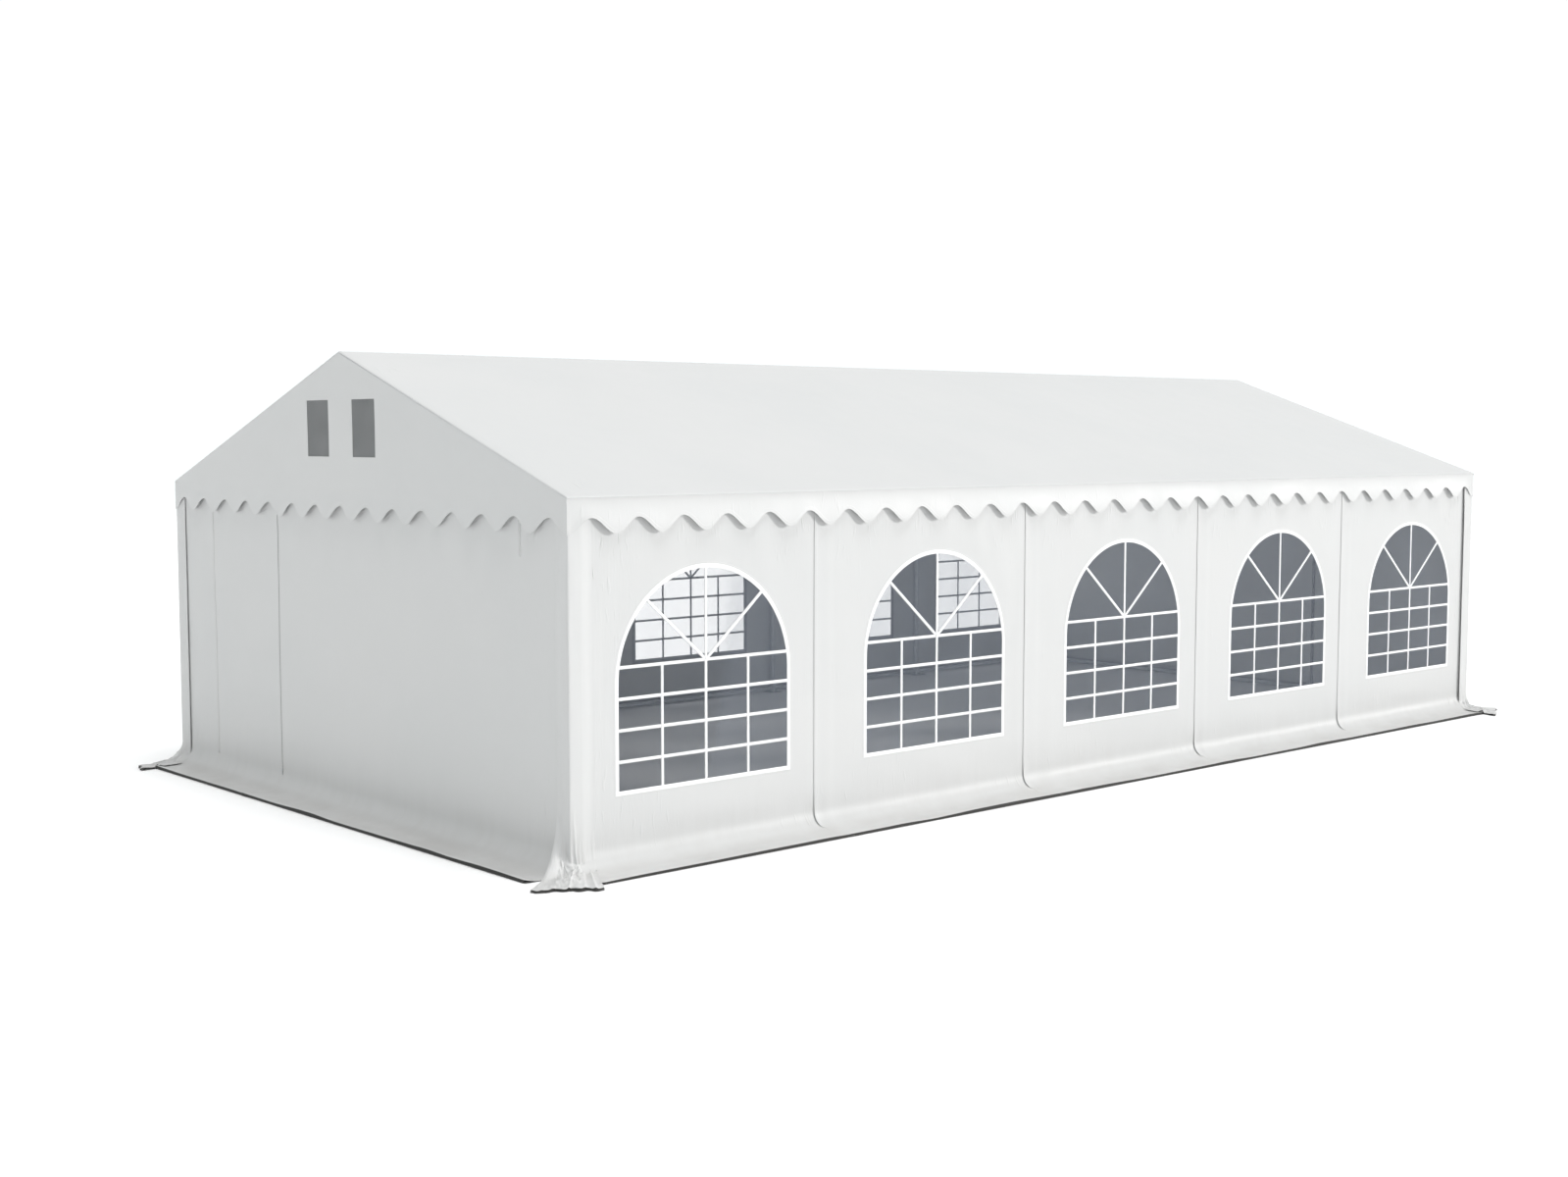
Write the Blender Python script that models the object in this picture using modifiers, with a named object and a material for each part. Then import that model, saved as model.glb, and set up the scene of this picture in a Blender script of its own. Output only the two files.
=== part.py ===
# Party tent of five bays: white sheeting on a frame of steel tubes.
# Metres, +Z up. X runs along the tent, the front long side faces -Y, the ground is z = 0.
# Sizes are to the outer faces of the wall sheets unless a note says otherwise.
import math

import bmesh
import bpy
from mathutils import Matrix, Vector

# Overall sizes
BAY_COUNT = 5
BAY_LENGTH = 2.0
HALF_LENGTH = BAY_COUNT * BAY_LENGTH / 2
HALF_WIDTH = 2.55
EAVE_HEIGHT = 2.16
RIDGE_HEIGHT = 3.055
GAP = 0.0003

# Sheeting: roof cover, valances and walls
SHEET = 0.002
COVER_PROUD = 0.018
COVER_HALF_LENGTH = HALF_LENGTH + COVER_PROUD
COVER_HALF_WIDTH = HALF_WIDTH + COVER_PROUD
ROOF_SLOPE = (RIDGE_HEIGHT - EAVE_HEIGHT) / COVER_HALF_WIDTH
ROOF_COSINE = math.cos(math.atan(ROOF_SLOPE))
VALANCE_TOP = EAVE_HEIGHT - 0.0025
SCALLOP_HIGH = 2.037
SCALLOP_LOW = 1.943
FRONT_SCALLOPS = 30
END_SCALLOPS = 15
POINTS_PER_SCALLOP = 6
WALL_TOP = 2.14
LAP_WIDTH = 0.128
LAP_RISE = SHEET + GAP
LAP_STEP = 0.012
LAP_CORNER_RADIUS = 0.09
LAP_CORNER_STEPS = 6

# Ground flap: the foot of each wall turns outwards and lies on the ground
FLAP_REACH = 0.311
FLAP_RADIUS = 0.13
FLAP_BEND_STEPS = 5

# Round-topped windows, one in the middle of each bay
WINDOW_HALF_WIDTH = 0.667
WINDOW_BOTTOM = 0.428
WINDOW_TOP = 1.7285
WINDOW_ARCH_STEPS = 16
FILM = 0.001
FILM_MARGIN = 0.025

# Gable vents, two in each gable with one strip of mesh behind them
VENT_INNER = 0.1585
VENT_OUTER = 0.450
VENT_BOTTOM = 2.3615
VENT_TOP = 2.7365
VENT_MARGIN = 0.022

# End walls: two sheets that meet at a zip
ZIP_OFFSET = 0.942

# Corner covers: a strip round each corner post, spread out at its foot
CORNER_PROUD = COVER_PROUD - SHEET - GAP
CORNER_END_STRIP = 0.13
CORNER_SIDE_STRIP = 0.165
CORNER_ROUNDING = 0.03
SKIRT_TOP = 0.30
SKIRT_ROWS = 7
SKIRT_COLUMNS = 15
SKIRT_PLEATS = 3
SKIRT_PLEAT_DEPTH = 0.014

# Steel tubes and fittings
TUBE_RADIUS = 0.025
FITTING_RADIUS = 0.0285
POST_SOCKET_RADIUS = 0.0272
RAFTER_SOCKET_RADIUS = 0.0266
SOCKET_SETBACK = 0.012
FITTING_REACH = 0.11
GROUND_BAR_RADIUS = 0.019
GROUND_BAR_HEIGHT = 0.036
TUBE_SIDES = 12
FOOT_SIDE = 0.14
FOOT_THICKNESS = 0.005
ANCHOR_HOLE_RADIUS = 0.008
ANCHOR_HOLE_OFFSET = 0.050
ANCHOR_HOLE_SIDES = 8

# How far a cutting solid reaches past what it cuts, how close points are before they are
# welded, and the sharpest fold in degrees that is still shaded round
CUT_MARGIN = 0.05
WELD_DISTANCE = 0.00002
ROUND_ANGLE = 40

# Places of the tubes' axes: the fittings nearly touch the walls and the roof cover
POST_Y = HALF_WIDTH - SHEET - GAP - FITTING_RADIUS
END_FRAME_X = HALF_LENGTH - SHEET - GAP - FITTING_RADIUS
PURLIN_HALF_LENGTH = HALF_LENGTH - SHEET - GAP
AXIS_DROP = (SHEET + GAP + FITTING_RADIUS) / ROOF_COSINE
RIDGE_AXIS_Z = RIDGE_HEIGHT - AXIS_DROP
EAVE_AXIS_Z = RIDGE_AXIS_Z - ROOF_SLOPE * POST_Y

UPRIGHT_FACING_Y = Matrix.Rotation(math.radians(90), 4, "X")
UPRIGHT_FACING_X = Matrix.Rotation(math.radians(90), 4, "Z") @ UPRIGHT_FACING_Y
HALF_TURN = Matrix.Rotation(math.pi, 4, "Z")


def clear_scene():
    for item in list(bpy.data.objects):
        bpy.data.objects.remove(item, do_unlink=True)


def new_collection(name):
    collection = bpy.data.collections.new(name)
    bpy.context.scene.collection.children.link(collection)
    return collection


def new_material(name, colour, roughness, metallic=0.0, alpha=1.0):
    material = bpy.data.materials.new(name)
    material.use_nodes = True
    shader = material.node_tree.nodes["Principled BSDF"]
    shader.inputs["Base Color"].default_value = (*colour, 1.0)
    shader.inputs["Roughness"].default_value = roughness
    shader.inputs["Metallic"].default_value = metallic
    shader.inputs["Alpha"].default_value = alpha
    return material


def place(name, data, material, matrix=Matrix.Identity(4)):
    # A node of the tent: one object with its own material, in the tent's collection
    item = bpy.data.objects.new(name, data)
    item.matrix_world = matrix
    tent.objects.link(item)
    if not data.materials:
        data.materials.append(material)
    return item


def place_tool(name, data, matrix=Matrix.Identity(4)):
    # A solid that only cuts or joins
    item = bpy.data.objects.new(name, data)
    item.matrix_world = matrix
    cutters.objects.link(item)
    item.hide_render = True
    item.display_type = "WIRE"
    return item


def add_boolean(item, tool, operation):
    modifier = item.modifiers.new(operation.title() + " " + tool.name, "BOOLEAN")
    modifier.operation = operation
    modifier.solver = "EXACT"
    modifier.object = tool


def add_thickness(item, thickness, even=True):
    modifier = item.modifiers.new("Thickness", "SOLIDIFY")
    modifier.thickness = thickness
    modifier.offset = -1.0
    modifier.use_even_offset = even


def evaluated_mesh(item, name):
    # The object's shape with its modifiers, in world space
    bpy.context.view_layer.update()
    depsgraph = bpy.context.evaluated_depsgraph_get()
    mesh = bpy.data.meshes.new_from_object(item.evaluated_get(depsgraph))
    mesh.transform(item.matrix_world)
    mesh.name = name
    return mesh


def smooth_round_sides(mesh):
    mesh.shade_smooth()
    mesh.set_sharp_from_angle(angle=math.radians(ROUND_ANGLE))


def outline_curve(name, outlines, thickness):
    # Flat piece in its local XY plane; the outlines after the first one are holes
    curve = bpy.data.curves.new(name, "CURVE")
    curve.dimensions = "2D"
    curve.fill_mode = "BOTH"
    curve.extrude = thickness / 2
    for outline in outlines:
        spline = curve.splines.new("POLY")
        spline.points.add(len(outline) - 1)
        for point, (across, up) in zip(spline.points, outline):
            point.co = (across, up, 0.0, 1.0)
        spline.use_cyclic_u = True
    return curve


def outline_mesh(name, outlines, thickness):
    # The same flat piece as a welded mesh, so that it can cut
    curve_item = bpy.data.objects.new(name, outline_curve(name, outlines, thickness))
    bpy.context.scene.collection.objects.link(curve_item)
    mesh = evaluated_mesh(curve_item, name)
    bpy.data.objects.remove(curve_item, do_unlink=True)
    cage = bmesh.new()
    cage.from_mesh(mesh)
    bmesh.ops.remove_doubles(cage, verts=cage.verts, dist=WELD_DISTANCE)
    cage.to_mesh(mesh)
    cage.free()
    return mesh


def bent_sheet_mesh(name, columns, rows, point_at):
    # A flat grid whose points are moved to point_at(column, row)
    cage = bmesh.new()
    bmesh.ops.create_grid(cage, x_segments=columns, y_segments=rows, size=0.5)
    for vert in cage.verts:
        column = round((vert.co.x + 0.5) * columns)
        row = round((vert.co.y + 0.5) * rows)
        vert.co = point_at(column, row)
    mesh = bpy.data.meshes.new(name)
    cage.to_mesh(mesh)
    cage.free()
    return mesh


def box_mesh(name, size, centre):
    cage = bmesh.new()
    matrix = Matrix.Translation(centre) @ Matrix.Diagonal((*size, 1.0))
    bmesh.ops.create_cube(cage, size=1.0, matrix=matrix)
    mesh = bpy.data.meshes.new(name)
    cage.to_mesh(mesh)
    cage.free()
    return mesh


def stepped_tube_mesh(name, start, end, steps, sides=TUBE_SIDES):
    # A round bar whose radius changes along its length: steps are (distance, radius) pairs,
    # turned round the line from start to end. Flat faces, not edges, look along the main axes.
    start, end = Vector(start), Vector(end)
    turn = (end - start).to_track_quat("Z", "Y").to_matrix().to_4x4()
    half_step = Matrix.Rotation(math.pi / sides, 4, "Z")
    profile = [(steps[0][0], 0.0)] + list(steps) + [(steps[-1][0], 0.0)]
    cage = bmesh.new()
    verts = [cage.verts.new((radius, 0.0, distance)) for distance, radius in profile]
    edges = [cage.edges.new(pair) for pair in zip(verts, verts[1:])]
    bmesh.ops.spin(cage, geom=verts + edges, cent=(0, 0, 0), axis=(0, 0, 1), dvec=(0, 0, 0),
                   angle=2 * math.pi, steps=sides)
    bmesh.ops.remove_doubles(cage, verts=cage.verts, dist=WELD_DISTANCE)
    bmesh.ops.recalc_face_normals(cage, faces=cage.faces)
    mesh = bpy.data.meshes.new(name)
    cage.to_mesh(mesh)
    cage.free()
    mesh.transform(Matrix.Translation(start) @ turn @ half_step)
    return mesh


def tube_mesh(name, start, end, radius, sides=TUBE_SIDES):
    length = (Vector(end) - Vector(start)).length
    return stepped_tube_mesh(name, start, end, [(0.0, radius), (length, radius)], sides)


def socketed_tube_mesh(name, start, end, socket_radius):
    # A frame tube with a wider socket of the fitting round each end. It stops a little
    # short of both nodes, where the sleeves join it to its neighbours.
    length = (end - start).length
    first, last = SOCKET_SETBACK, length - SOCKET_SETBACK
    steps = [(first, socket_radius), (FITTING_REACH, socket_radius), (FITTING_REACH, TUBE_RADIUS),
             (length - FITTING_REACH, TUBE_RADIUS), (length - FITTING_REACH, socket_radius),
             (last, socket_radius)]
    return stepped_tube_mesh(name, start, end, steps)


def scalloped_edge(half_span, count):
    # The wavy lower edge from left to right, low at both ends
    middle = (SCALLOP_HIGH + SCALLOP_LOW) / 2
    swing = (SCALLOP_HIGH - SCALLOP_LOW) / 2
    steps = count * POINTS_PER_SCALLOP
    points = []
    for step in range(steps + 1):
        across = half_span * (2 * step / steps - 1)
        points.append((across, middle - swing * math.cos(2 * math.pi * step / POINTS_PER_SCALLOP)))
    return points


def window_outline(margin):
    # Straight sides under a half round, grown by the margin all round
    half = WINDOW_HALF_WIDTH + margin
    springing = WINDOW_TOP - WINDOW_HALF_WIDTH
    points = [(-half, WINDOW_BOTTOM - margin), (half, WINDOW_BOTTOM - margin)]
    for step in range(WINDOW_ARCH_STEPS + 1):
        angle = math.pi * step / WINDOW_ARCH_STEPS
        points.append((half * math.cos(angle), springing + half * math.sin(angle)))
    return points


def wall_section():
    # Outer face of a wall, from its top down the wall, round the bend and out along the flap.
    # Each entry is outward distance, height, and the face's outward and upward direction.
    section = [(0.0, WALL_TOP, 1.0, 0.0)]
    for step in range(FLAP_BEND_STEPS + 1):
        angle = math.pi / 2 * step / FLAP_BEND_STEPS
        outward = FLAP_RADIUS * (1 - math.cos(angle))
        height = SHEET + FLAP_RADIUS * (1 - math.sin(angle))
        section.append((outward, height, math.cos(angle), math.sin(angle)))
    section.append((FLAP_REACH, SHEET, 0.0, 1.0))
    return section


def wall_sheet_mesh(name, stations):
    # A wall facing -Y with its outer face at y = 0. The stations run along X:
    # each is a place and how far the sheet stands proud there.
    section = wall_section()

    def point_at(column, row):
        along, rise = stations[column]
        outward, height, face_out, face_up = section[len(section) - 1 - row]
        return Vector((along, -outward - face_out * rise, height + face_up * rise))

    return bent_sheet_mesh(name, len(stations) - 1, len(section) - 1, point_at)


def lap_corner_outline():
    # What is cut off the lower corner of a lap, so that its edge curves away at the foot
    left = -LAP_WIDTH
    outside = left - CUT_MARGIN
    points = [(outside, -CUT_MARGIN), (left + LAP_CORNER_RADIUS, -CUT_MARGIN)]
    for step in range(LAP_CORNER_STEPS + 1):
        angle = math.pi / 2 * step / LAP_CORNER_STEPS
        across = left + LAP_CORNER_RADIUS * (1 - math.sin(angle))
        points.append((across, FLAP_RADIUS - FLAP_RADIUS * math.cos(angle) + SHEET))
    points.append((outside, FLAP_RADIUS + SHEET))
    return points


def side_walls():
    # Ten window panels. Each one but the first of its side laps over its neighbour.
    half_bay = BAY_LENGTH / 2
    plain = [(-half_bay, 0.0), (half_bay, 0.0)]
    lapped = [(-half_bay - LAP_WIDTH, LAP_RISE), (-half_bay, LAP_RISE),
              (-half_bay + LAP_STEP, 0.0), (half_bay, 0.0)]
    window_mesh = outline_mesh("window_cutter", [window_outline(0.0)], 2 * CUT_MARGIN)
    window = place_tool("window_cutter", window_mesh, UPRIGHT_FACING_Y)
    corner_place = Matrix.Translation((-half_bay, -FLAP_REACH / 2, 0)) @ UPRIGHT_FACING_Y
    corner = place_tool("lap_corner_cutter",
                        outline_mesh("lap_corner_cutter", [lap_corner_outline()], 2 * FLAP_REACH),
                        corner_place)
    meshes = []
    for name, stations in (("corner_panel", plain), ("lapped_panel", lapped)):
        panel = place_tool(name, wall_sheet_mesh(name, stations))
        add_thickness(panel, SHEET)
        add_boolean(panel, window, "DIFFERENCE")
        if stations is lapped:
            add_boolean(panel, corner, "DIFFERENCE")
        meshes.append(evaluated_mesh(panel, name))
        bpy.data.objects.remove(panel, do_unlink=True)
    film = outline_curve("window_film", [window_outline(FILM_MARGIN)], FILM)
    film_y = SHEET + GAP + FILM / 2
    for side, turn in (("front", Matrix.Identity(4)), ("rear", HALF_TURN)):
        for bay in range(BAY_COUNT):
            centre = Vector((-HALF_LENGTH + BAY_LENGTH * (bay + 0.5), -HALF_WIDTH, 0))
            wall = turn @ Matrix.Translation(centre)
            place(f"{side}_wall_{bay + 1}", meshes[min(bay, 1)], white_sheeting, wall)
            place(f"{side}_window_{bay + 1}", film, clear_film,
                  wall @ Matrix.Translation((0, film_y, 0)) @ UPRIGHT_FACING_Y)


def end_walls():
    # Each end is closed by a wide and a narrow sheet that meet at the zip
    edge = HALF_WIDTH - SHEET - GAP
    wide = wall_sheet_mesh("end_wide", [(-ZIP_OFFSET + GAP, 0.0), (edge, 0.0)])
    narrow = wall_sheet_mesh("end_narrow", [(-edge, 0.0), (-ZIP_OFFSET - GAP, 0.0)])
    quarter = Matrix.Rotation(math.radians(-90), 4, "Z")
    for side, turn in (("left", Matrix.Identity(4)), ("right", HALF_TURN)):
        wall = turn @ Matrix.Translation((-HALF_LENGTH, 0, 0)) @ quarter
        for kind, mesh in (("wide", wide), ("narrow", narrow)):
            add_thickness(place(f"{side}_end_wall_{kind}", mesh, white_sheeting, wall), SHEET)


def corner_section(column):
    # The strip's outer face in plan, from its edge on the end wall to its edge on the side.
    # Distances are outward from the walls' corner: first past the end, then past the side.
    straight_end = CORNER_END_STRIP + CORNER_PROUD - CORNER_ROUNDING
    straight_side = CORNER_SIDE_STRIP + CORNER_PROUD - CORNER_ROUNDING
    arc = CORNER_ROUNDING * math.pi / 2
    travelled = (straight_end + arc + straight_side) * column / SKIRT_COLUMNS
    inner = CORNER_PROUD - CORNER_ROUNDING
    if travelled < straight_end:
        return Vector((CORNER_PROUD, travelled - CORNER_END_STRIP))
    if travelled > straight_end + arc:
        return Vector((inner - (travelled - straight_end - arc), CORNER_PROUD))
    angle = (travelled - straight_end) / CORNER_ROUNDING
    return Vector((inner + CORNER_ROUNDING * math.cos(angle), inner + CORNER_ROUNDING * math.sin(angle)))


def corner_cover_mesh(name, tips, mirrored):
    # The strip hangs straight down and then spreads out in pleats to the line between
    # the two tips on the ground. A cover that will be mirrored runs the other way round,
    # so that its outer face stays outside.
    end_tip, side_tip = Vector(tips[0]), Vector(tips[1])

    def point_at(column, row):
        step = SKIRT_COLUMNS - column if mirrored else column
        strip = corner_section(step)
        share = step / SKIRT_COLUMNS
        if row == SKIRT_ROWS + 1:
            return Vector((strip.x, strip.y, WALL_TOP))
        angle = math.pi / 2 * (SKIRT_ROWS - row) / SKIRT_ROWS
        pleat = SKIRT_PLEAT_DEPTH * math.sin(angle) * math.sin(math.pi * SKIRT_PLEATS * share) ** 2
        spread = strip.lerp(end_tip.lerp(side_tip, share), 1 - math.cos(angle))
        height = SHEET + (SKIRT_TOP - SHEET) * (1 - math.sin(angle)) + pleat
        return Vector((spread.x, spread.y, height))

    return bent_sheet_mesh(name, SKIRT_COLUMNS, SKIRT_ROWS + 1, point_at)


def corner_covers():
    # Signs of the corner, and its two tips as distances past the end and past the side
    corners = {
        "front_left": ((-1, -1), ((0.420, 0.220), (0.100, 0.420))),
        "rear_left": ((-1, 1), ((0.433, -0.120), (0.260, 0.200))),
        "front_right": ((1, -1), ((0.120, 0.350), (-0.270, 0.420))),
        "rear_right": ((1, 1), ((0.433, 0.220), (0.100, 0.420))),
    }
    for corner, ((sign_x, sign_y), tips) in corners.items():
        name = corner + "_corner_cover"
        mesh = corner_cover_mesh(name, tips, sign_x * sign_y < 0)
        mesh.transform(Matrix.Diagonal((sign_x, sign_y, 1, 1)))
        centre = Vector((sign_x * HALF_LENGTH, sign_y * HALF_WIDTH, 0))
        cover = place(name, mesh, white_sheeting, Matrix.Translation(centre))
        add_thickness(cover, SHEET, even=False)


def roof_cover():
    # Two slopes folded over the ridge
    def point_at(column, row):
        across = COVER_HALF_WIDTH * (row - 1)
        height = RIDGE_HEIGHT - ROOF_SLOPE * abs(across)
        return Vector((COVER_HALF_LENGTH * (2 * column - 1), across, height))

    cover = place("roof_cover", bent_sheet_mesh("roof_cover", 1, 2, point_at), white_sheeting)
    add_thickness(cover, SHEET)


def valances():
    # Scalloped strips under both eaves
    half_span = COVER_HALF_LENGTH - SHEET - GAP
    outline = scalloped_edge(half_span, FRONT_SCALLOPS)
    outline += [(half_span, VALANCE_TOP), (-half_span, VALANCE_TOP)]
    curve = outline_curve("valance", [outline], SHEET)
    upright = Matrix.Translation((0, -COVER_HALF_WIDTH + SHEET / 2, 0)) @ UPRIGHT_FACING_Y
    place("front_valance", curve, white_sheeting, upright)
    place("rear_valance", curve, white_sheeting, HALF_TURN @ upright)


def gables():
    # Gable triangles that run down into a scalloped edge, with two mesh vents
    roof_gap = (SHEET + GAP) / ROOF_COSINE
    outline = scalloped_edge(COVER_HALF_WIDTH, END_SCALLOPS)
    outline += [(COVER_HALF_WIDTH, EAVE_HEIGHT - roof_gap), (0.0, RIDGE_HEIGHT - roof_gap),
                (-COVER_HALF_WIDTH, EAVE_HEIGHT - roof_gap)]
    holes = []
    for side in (-1, 1):
        inner, outer = side * VENT_INNER, side * VENT_OUTER
        holes.append([(inner, VENT_BOTTOM), (outer, VENT_BOTTOM), (outer, VENT_TOP), (inner, VENT_TOP)])
    gable = outline_curve("gable", [outline] + holes, SHEET)
    reach = VENT_OUTER + VENT_MARGIN
    low, high = VENT_BOTTOM - VENT_MARGIN, VENT_TOP + VENT_MARGIN
    vent = outline_curve("vent", [[(-reach, low), (reach, low), (reach, high), (-reach, high)]], FILM)
    gable_x = -COVER_HALF_LENGTH + SHEET / 2
    vent_x = -COVER_HALF_LENGTH + SHEET + GAP + FILM / 2
    for side, turn in (("left", Matrix.Identity(4)), ("right", HALF_TURN)):
        place(side + "_gable", gable, white_sheeting,
              turn @ Matrix.Translation((gable_x, 0, 0)) @ UPRIGHT_FACING_X)
        place(side + "_gable_vent", vent, vent_mesh,
              turn @ Matrix.Translation((vent_x, 0, 0)) @ UPRIGHT_FACING_X)


def portal_frame_mesh(name, sleeve_out, sleeve_in, closed):
    # Posts, rafters, fittings and feet fused into one frame in the plane x = 0. The sleeves
    # round the lengthways tubes run from -sleeve_out to sleeve_in. A closed frame also has
    # a tie at eave height and a bar along the ground.
    ridge = Vector((0, 0, RIDGE_AXIS_Z))
    eaves = [Vector((0, side * POST_Y, EAVE_AXIS_Z)) for side in (-1, 1)]
    joined = []
    holes = []
    for eave in eaves:
        foot = Vector((0, eave.y, FOOT_THICKNESS / 2))
        post_start = foot - Vector((0, 0, SOCKET_SETBACK))
        joined += [
            socketed_tube_mesh("post", post_start, eave, POST_SOCKET_RADIUS),
            socketed_tube_mesh("rafter", eave, ridge, RAFTER_SOCKET_RADIUS),
            box_mesh("foot_plate", (FOOT_SIDE, FOOT_SIDE, FOOT_THICKNESS), foot),
        ]
        ground_bar = Vector((0, eave.y, GROUND_BAR_HEIGHT))
        reach = Vector((FOOT_SIDE, 0, 0))
        holes.append(tube_mesh("ground_bar_hole", ground_bar - reach, ground_bar + reach,
                               GROUND_BAR_RADIUS + GAP))
        for turn in (-1, 1):
            anchor = Vector((turn * ANCHOR_HOLE_OFFSET, eave.y - turn * ANCHOR_HOLE_OFFSET, 0))
            up = Vector((0, 0, 2 * FOOT_THICKNESS))
            holes.append(tube_mesh("anchor_hole", anchor - up, anchor + up, ANCHOR_HOLE_RADIUS,
                                   ANCHOR_HOLE_SIDES))
    for node in eaves + [ridge]:
        joined.append(tube_mesh("sleeve", node - Vector((sleeve_out, 0, 0)),
                                node + Vector((sleeve_in, 0, 0)), FITTING_RADIUS))
        reach = Vector((FITTING_REACH, 0, 0))
        holes.append(tube_mesh("purlin_hole", node - reach, node + reach, TUBE_RADIUS + GAP))
    if closed:
        end = Vector((0, POST_Y - SOCKET_SETBACK, 0))
        for height, radius in ((EAVE_AXIS_Z, TUBE_RADIUS), (GROUND_BAR_HEIGHT, GROUND_BAR_RADIUS)):
            up = Vector((0, 0, height))
            joined.append(tube_mesh("tie", up - end, up + end, radius))
    frame = place_tool(name, joined[0])
    tools = []
    for operation, meshes in (("UNION", joined[1:]), ("DIFFERENCE", holes)):
        for mesh in meshes:
            tools.append(place_tool(mesh.name, mesh))
            add_boolean(frame, tools[-1], operation)
    mesh = evaluated_mesh(frame, name)
    for item in [frame] + tools:
        bpy.data.objects.remove(item, do_unlink=True)
    smooth_round_sides(mesh)
    return mesh


def steel_frame():
    sleeve = FITTING_REACH / 2
    inner = portal_frame_mesh("inner_frame", sleeve, sleeve, closed=False)
    end = portal_frame_mesh("end_frame", FITTING_RADIUS, FITTING_REACH - FITTING_RADIUS, closed=True)
    for number in range(BAY_COUNT + 1):
        name = f"portal_frame_{number + 1}"
        if number == 0:
            place(name, end, zinc_steel, Matrix.Translation((-END_FRAME_X, 0, 0)))
        elif number == BAY_COUNT:
            place(name, end, zinc_steel, HALF_TURN @ Matrix.Translation((-END_FRAME_X, 0, 0)))
        else:
            x = -HALF_LENGTH + BAY_LENGTH * number
            place(name, inner, zinc_steel, Matrix.Translation((x, 0, 0)))
    tubes = {
        "ridge_purlin": (0.0, RIDGE_AXIS_Z, TUBE_RADIUS),
        "front_eave_purlin": (-POST_Y, EAVE_AXIS_Z, TUBE_RADIUS),
        "rear_eave_purlin": (POST_Y, EAVE_AXIS_Z, TUBE_RADIUS),
        "front_ground_bar": (-POST_Y, GROUND_BAR_HEIGHT, GROUND_BAR_RADIUS),
        "rear_ground_bar": (POST_Y, GROUND_BAR_HEIGHT, GROUND_BAR_RADIUS),
    }
    for name, (y, z, radius) in tubes.items():
        mesh = tube_mesh(name, (-PURLIN_HALF_LENGTH, y, z), (PURLIN_HALF_LENGTH, y, z), radius)
        smooth_round_sides(mesh)
        place(name, mesh, zinc_steel)


clear_scene()
tent = new_collection("party_tent")
cutters = new_collection("cutters")
white_sheeting = new_material("white_sheeting", (0.86, 0.87, 0.87), 0.55)
clear_film = new_material("clear_film", (0.80, 0.84, 0.88), 0.12, alpha=0.35)
vent_mesh = new_material("vent_mesh", (0.35, 0.36, 0.37), 0.80)
zinc_steel = new_material("zinc_steel", (0.58, 0.60, 0.61), 0.38, metallic=1.0)

steel_frame()
roof_cover()
valances()
gables()
side_walls()
end_walls()
corner_covers()
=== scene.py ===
import math

import bmesh
import bpy
import numpy as np
from mathutils import Matrix, Vector, geometry, kdtree


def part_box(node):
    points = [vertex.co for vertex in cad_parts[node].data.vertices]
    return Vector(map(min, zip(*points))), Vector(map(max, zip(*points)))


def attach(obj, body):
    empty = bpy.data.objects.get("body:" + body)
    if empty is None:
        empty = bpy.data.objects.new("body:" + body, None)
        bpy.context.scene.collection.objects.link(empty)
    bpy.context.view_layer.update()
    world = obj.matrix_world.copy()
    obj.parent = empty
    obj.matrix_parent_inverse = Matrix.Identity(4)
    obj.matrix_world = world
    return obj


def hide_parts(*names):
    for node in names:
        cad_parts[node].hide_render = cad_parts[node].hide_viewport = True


# Party tent of five bays. Every sheet is cut flat first, as (across, height, out) in metres,
# and then hung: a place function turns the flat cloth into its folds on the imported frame.
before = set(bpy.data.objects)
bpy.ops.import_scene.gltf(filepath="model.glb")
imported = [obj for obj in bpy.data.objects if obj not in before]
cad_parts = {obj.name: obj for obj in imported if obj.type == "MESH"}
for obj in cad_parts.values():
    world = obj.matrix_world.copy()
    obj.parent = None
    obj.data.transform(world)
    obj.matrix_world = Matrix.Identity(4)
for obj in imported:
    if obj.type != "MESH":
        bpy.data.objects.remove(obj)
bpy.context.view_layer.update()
print("frame:", len(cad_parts), "nodes loaded")

tent = {
    "bays": 5,
    "bay": 2.0,
    "halfLength": 5.0,
    "halfWidth": 2.55,
    "eave": 2.16,
    "ridge": 3.055,
    "coverProud": 0.018,  # roof cover and valances stand this far outside the walls
    "wallTop": 2.14,
    "cloth": 0.0014,  # thickness of the coated cloth, the film and the netting
    "film": 0.0008,
    "net": 0.0005,
}
coverHalfLength = tent["halfLength"] + tent["coverProud"]
coverHalfWidth = tent["halfWidth"] + tent["coverProud"]
roofAngle = math.atan((tent["ridge"] - tent["eave"]) / coverHalfWidth)
halfTurn = Matrix.Rotation(math.pi, 4, "Z")
frontPlace = Matrix.Translation((0, -tent["halfWidth"], 0))
leftPlace = Matrix.Translation((-tent["halfLength"], 0, 0)) @ Matrix.Rotation(-math.pi / 2, 4, "Z")
sidePlaces = {"front": frontPlace, "rear": halfTurn @ frontPlace,
              "left": leftPlace, "right": halfTurn @ leftPlace}
sideSeeds = {"front": 3, "rear": 11, "left": 23, "right": 31}
# each bay's side, its number from 0 and where its middle is along that side
sideBays = [(side, bay, tent["bay"] * (bay + 0.5) - tent["halfLength"])
            for side in ("front", "rear") for bay in range(tent["bays"])]


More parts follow.
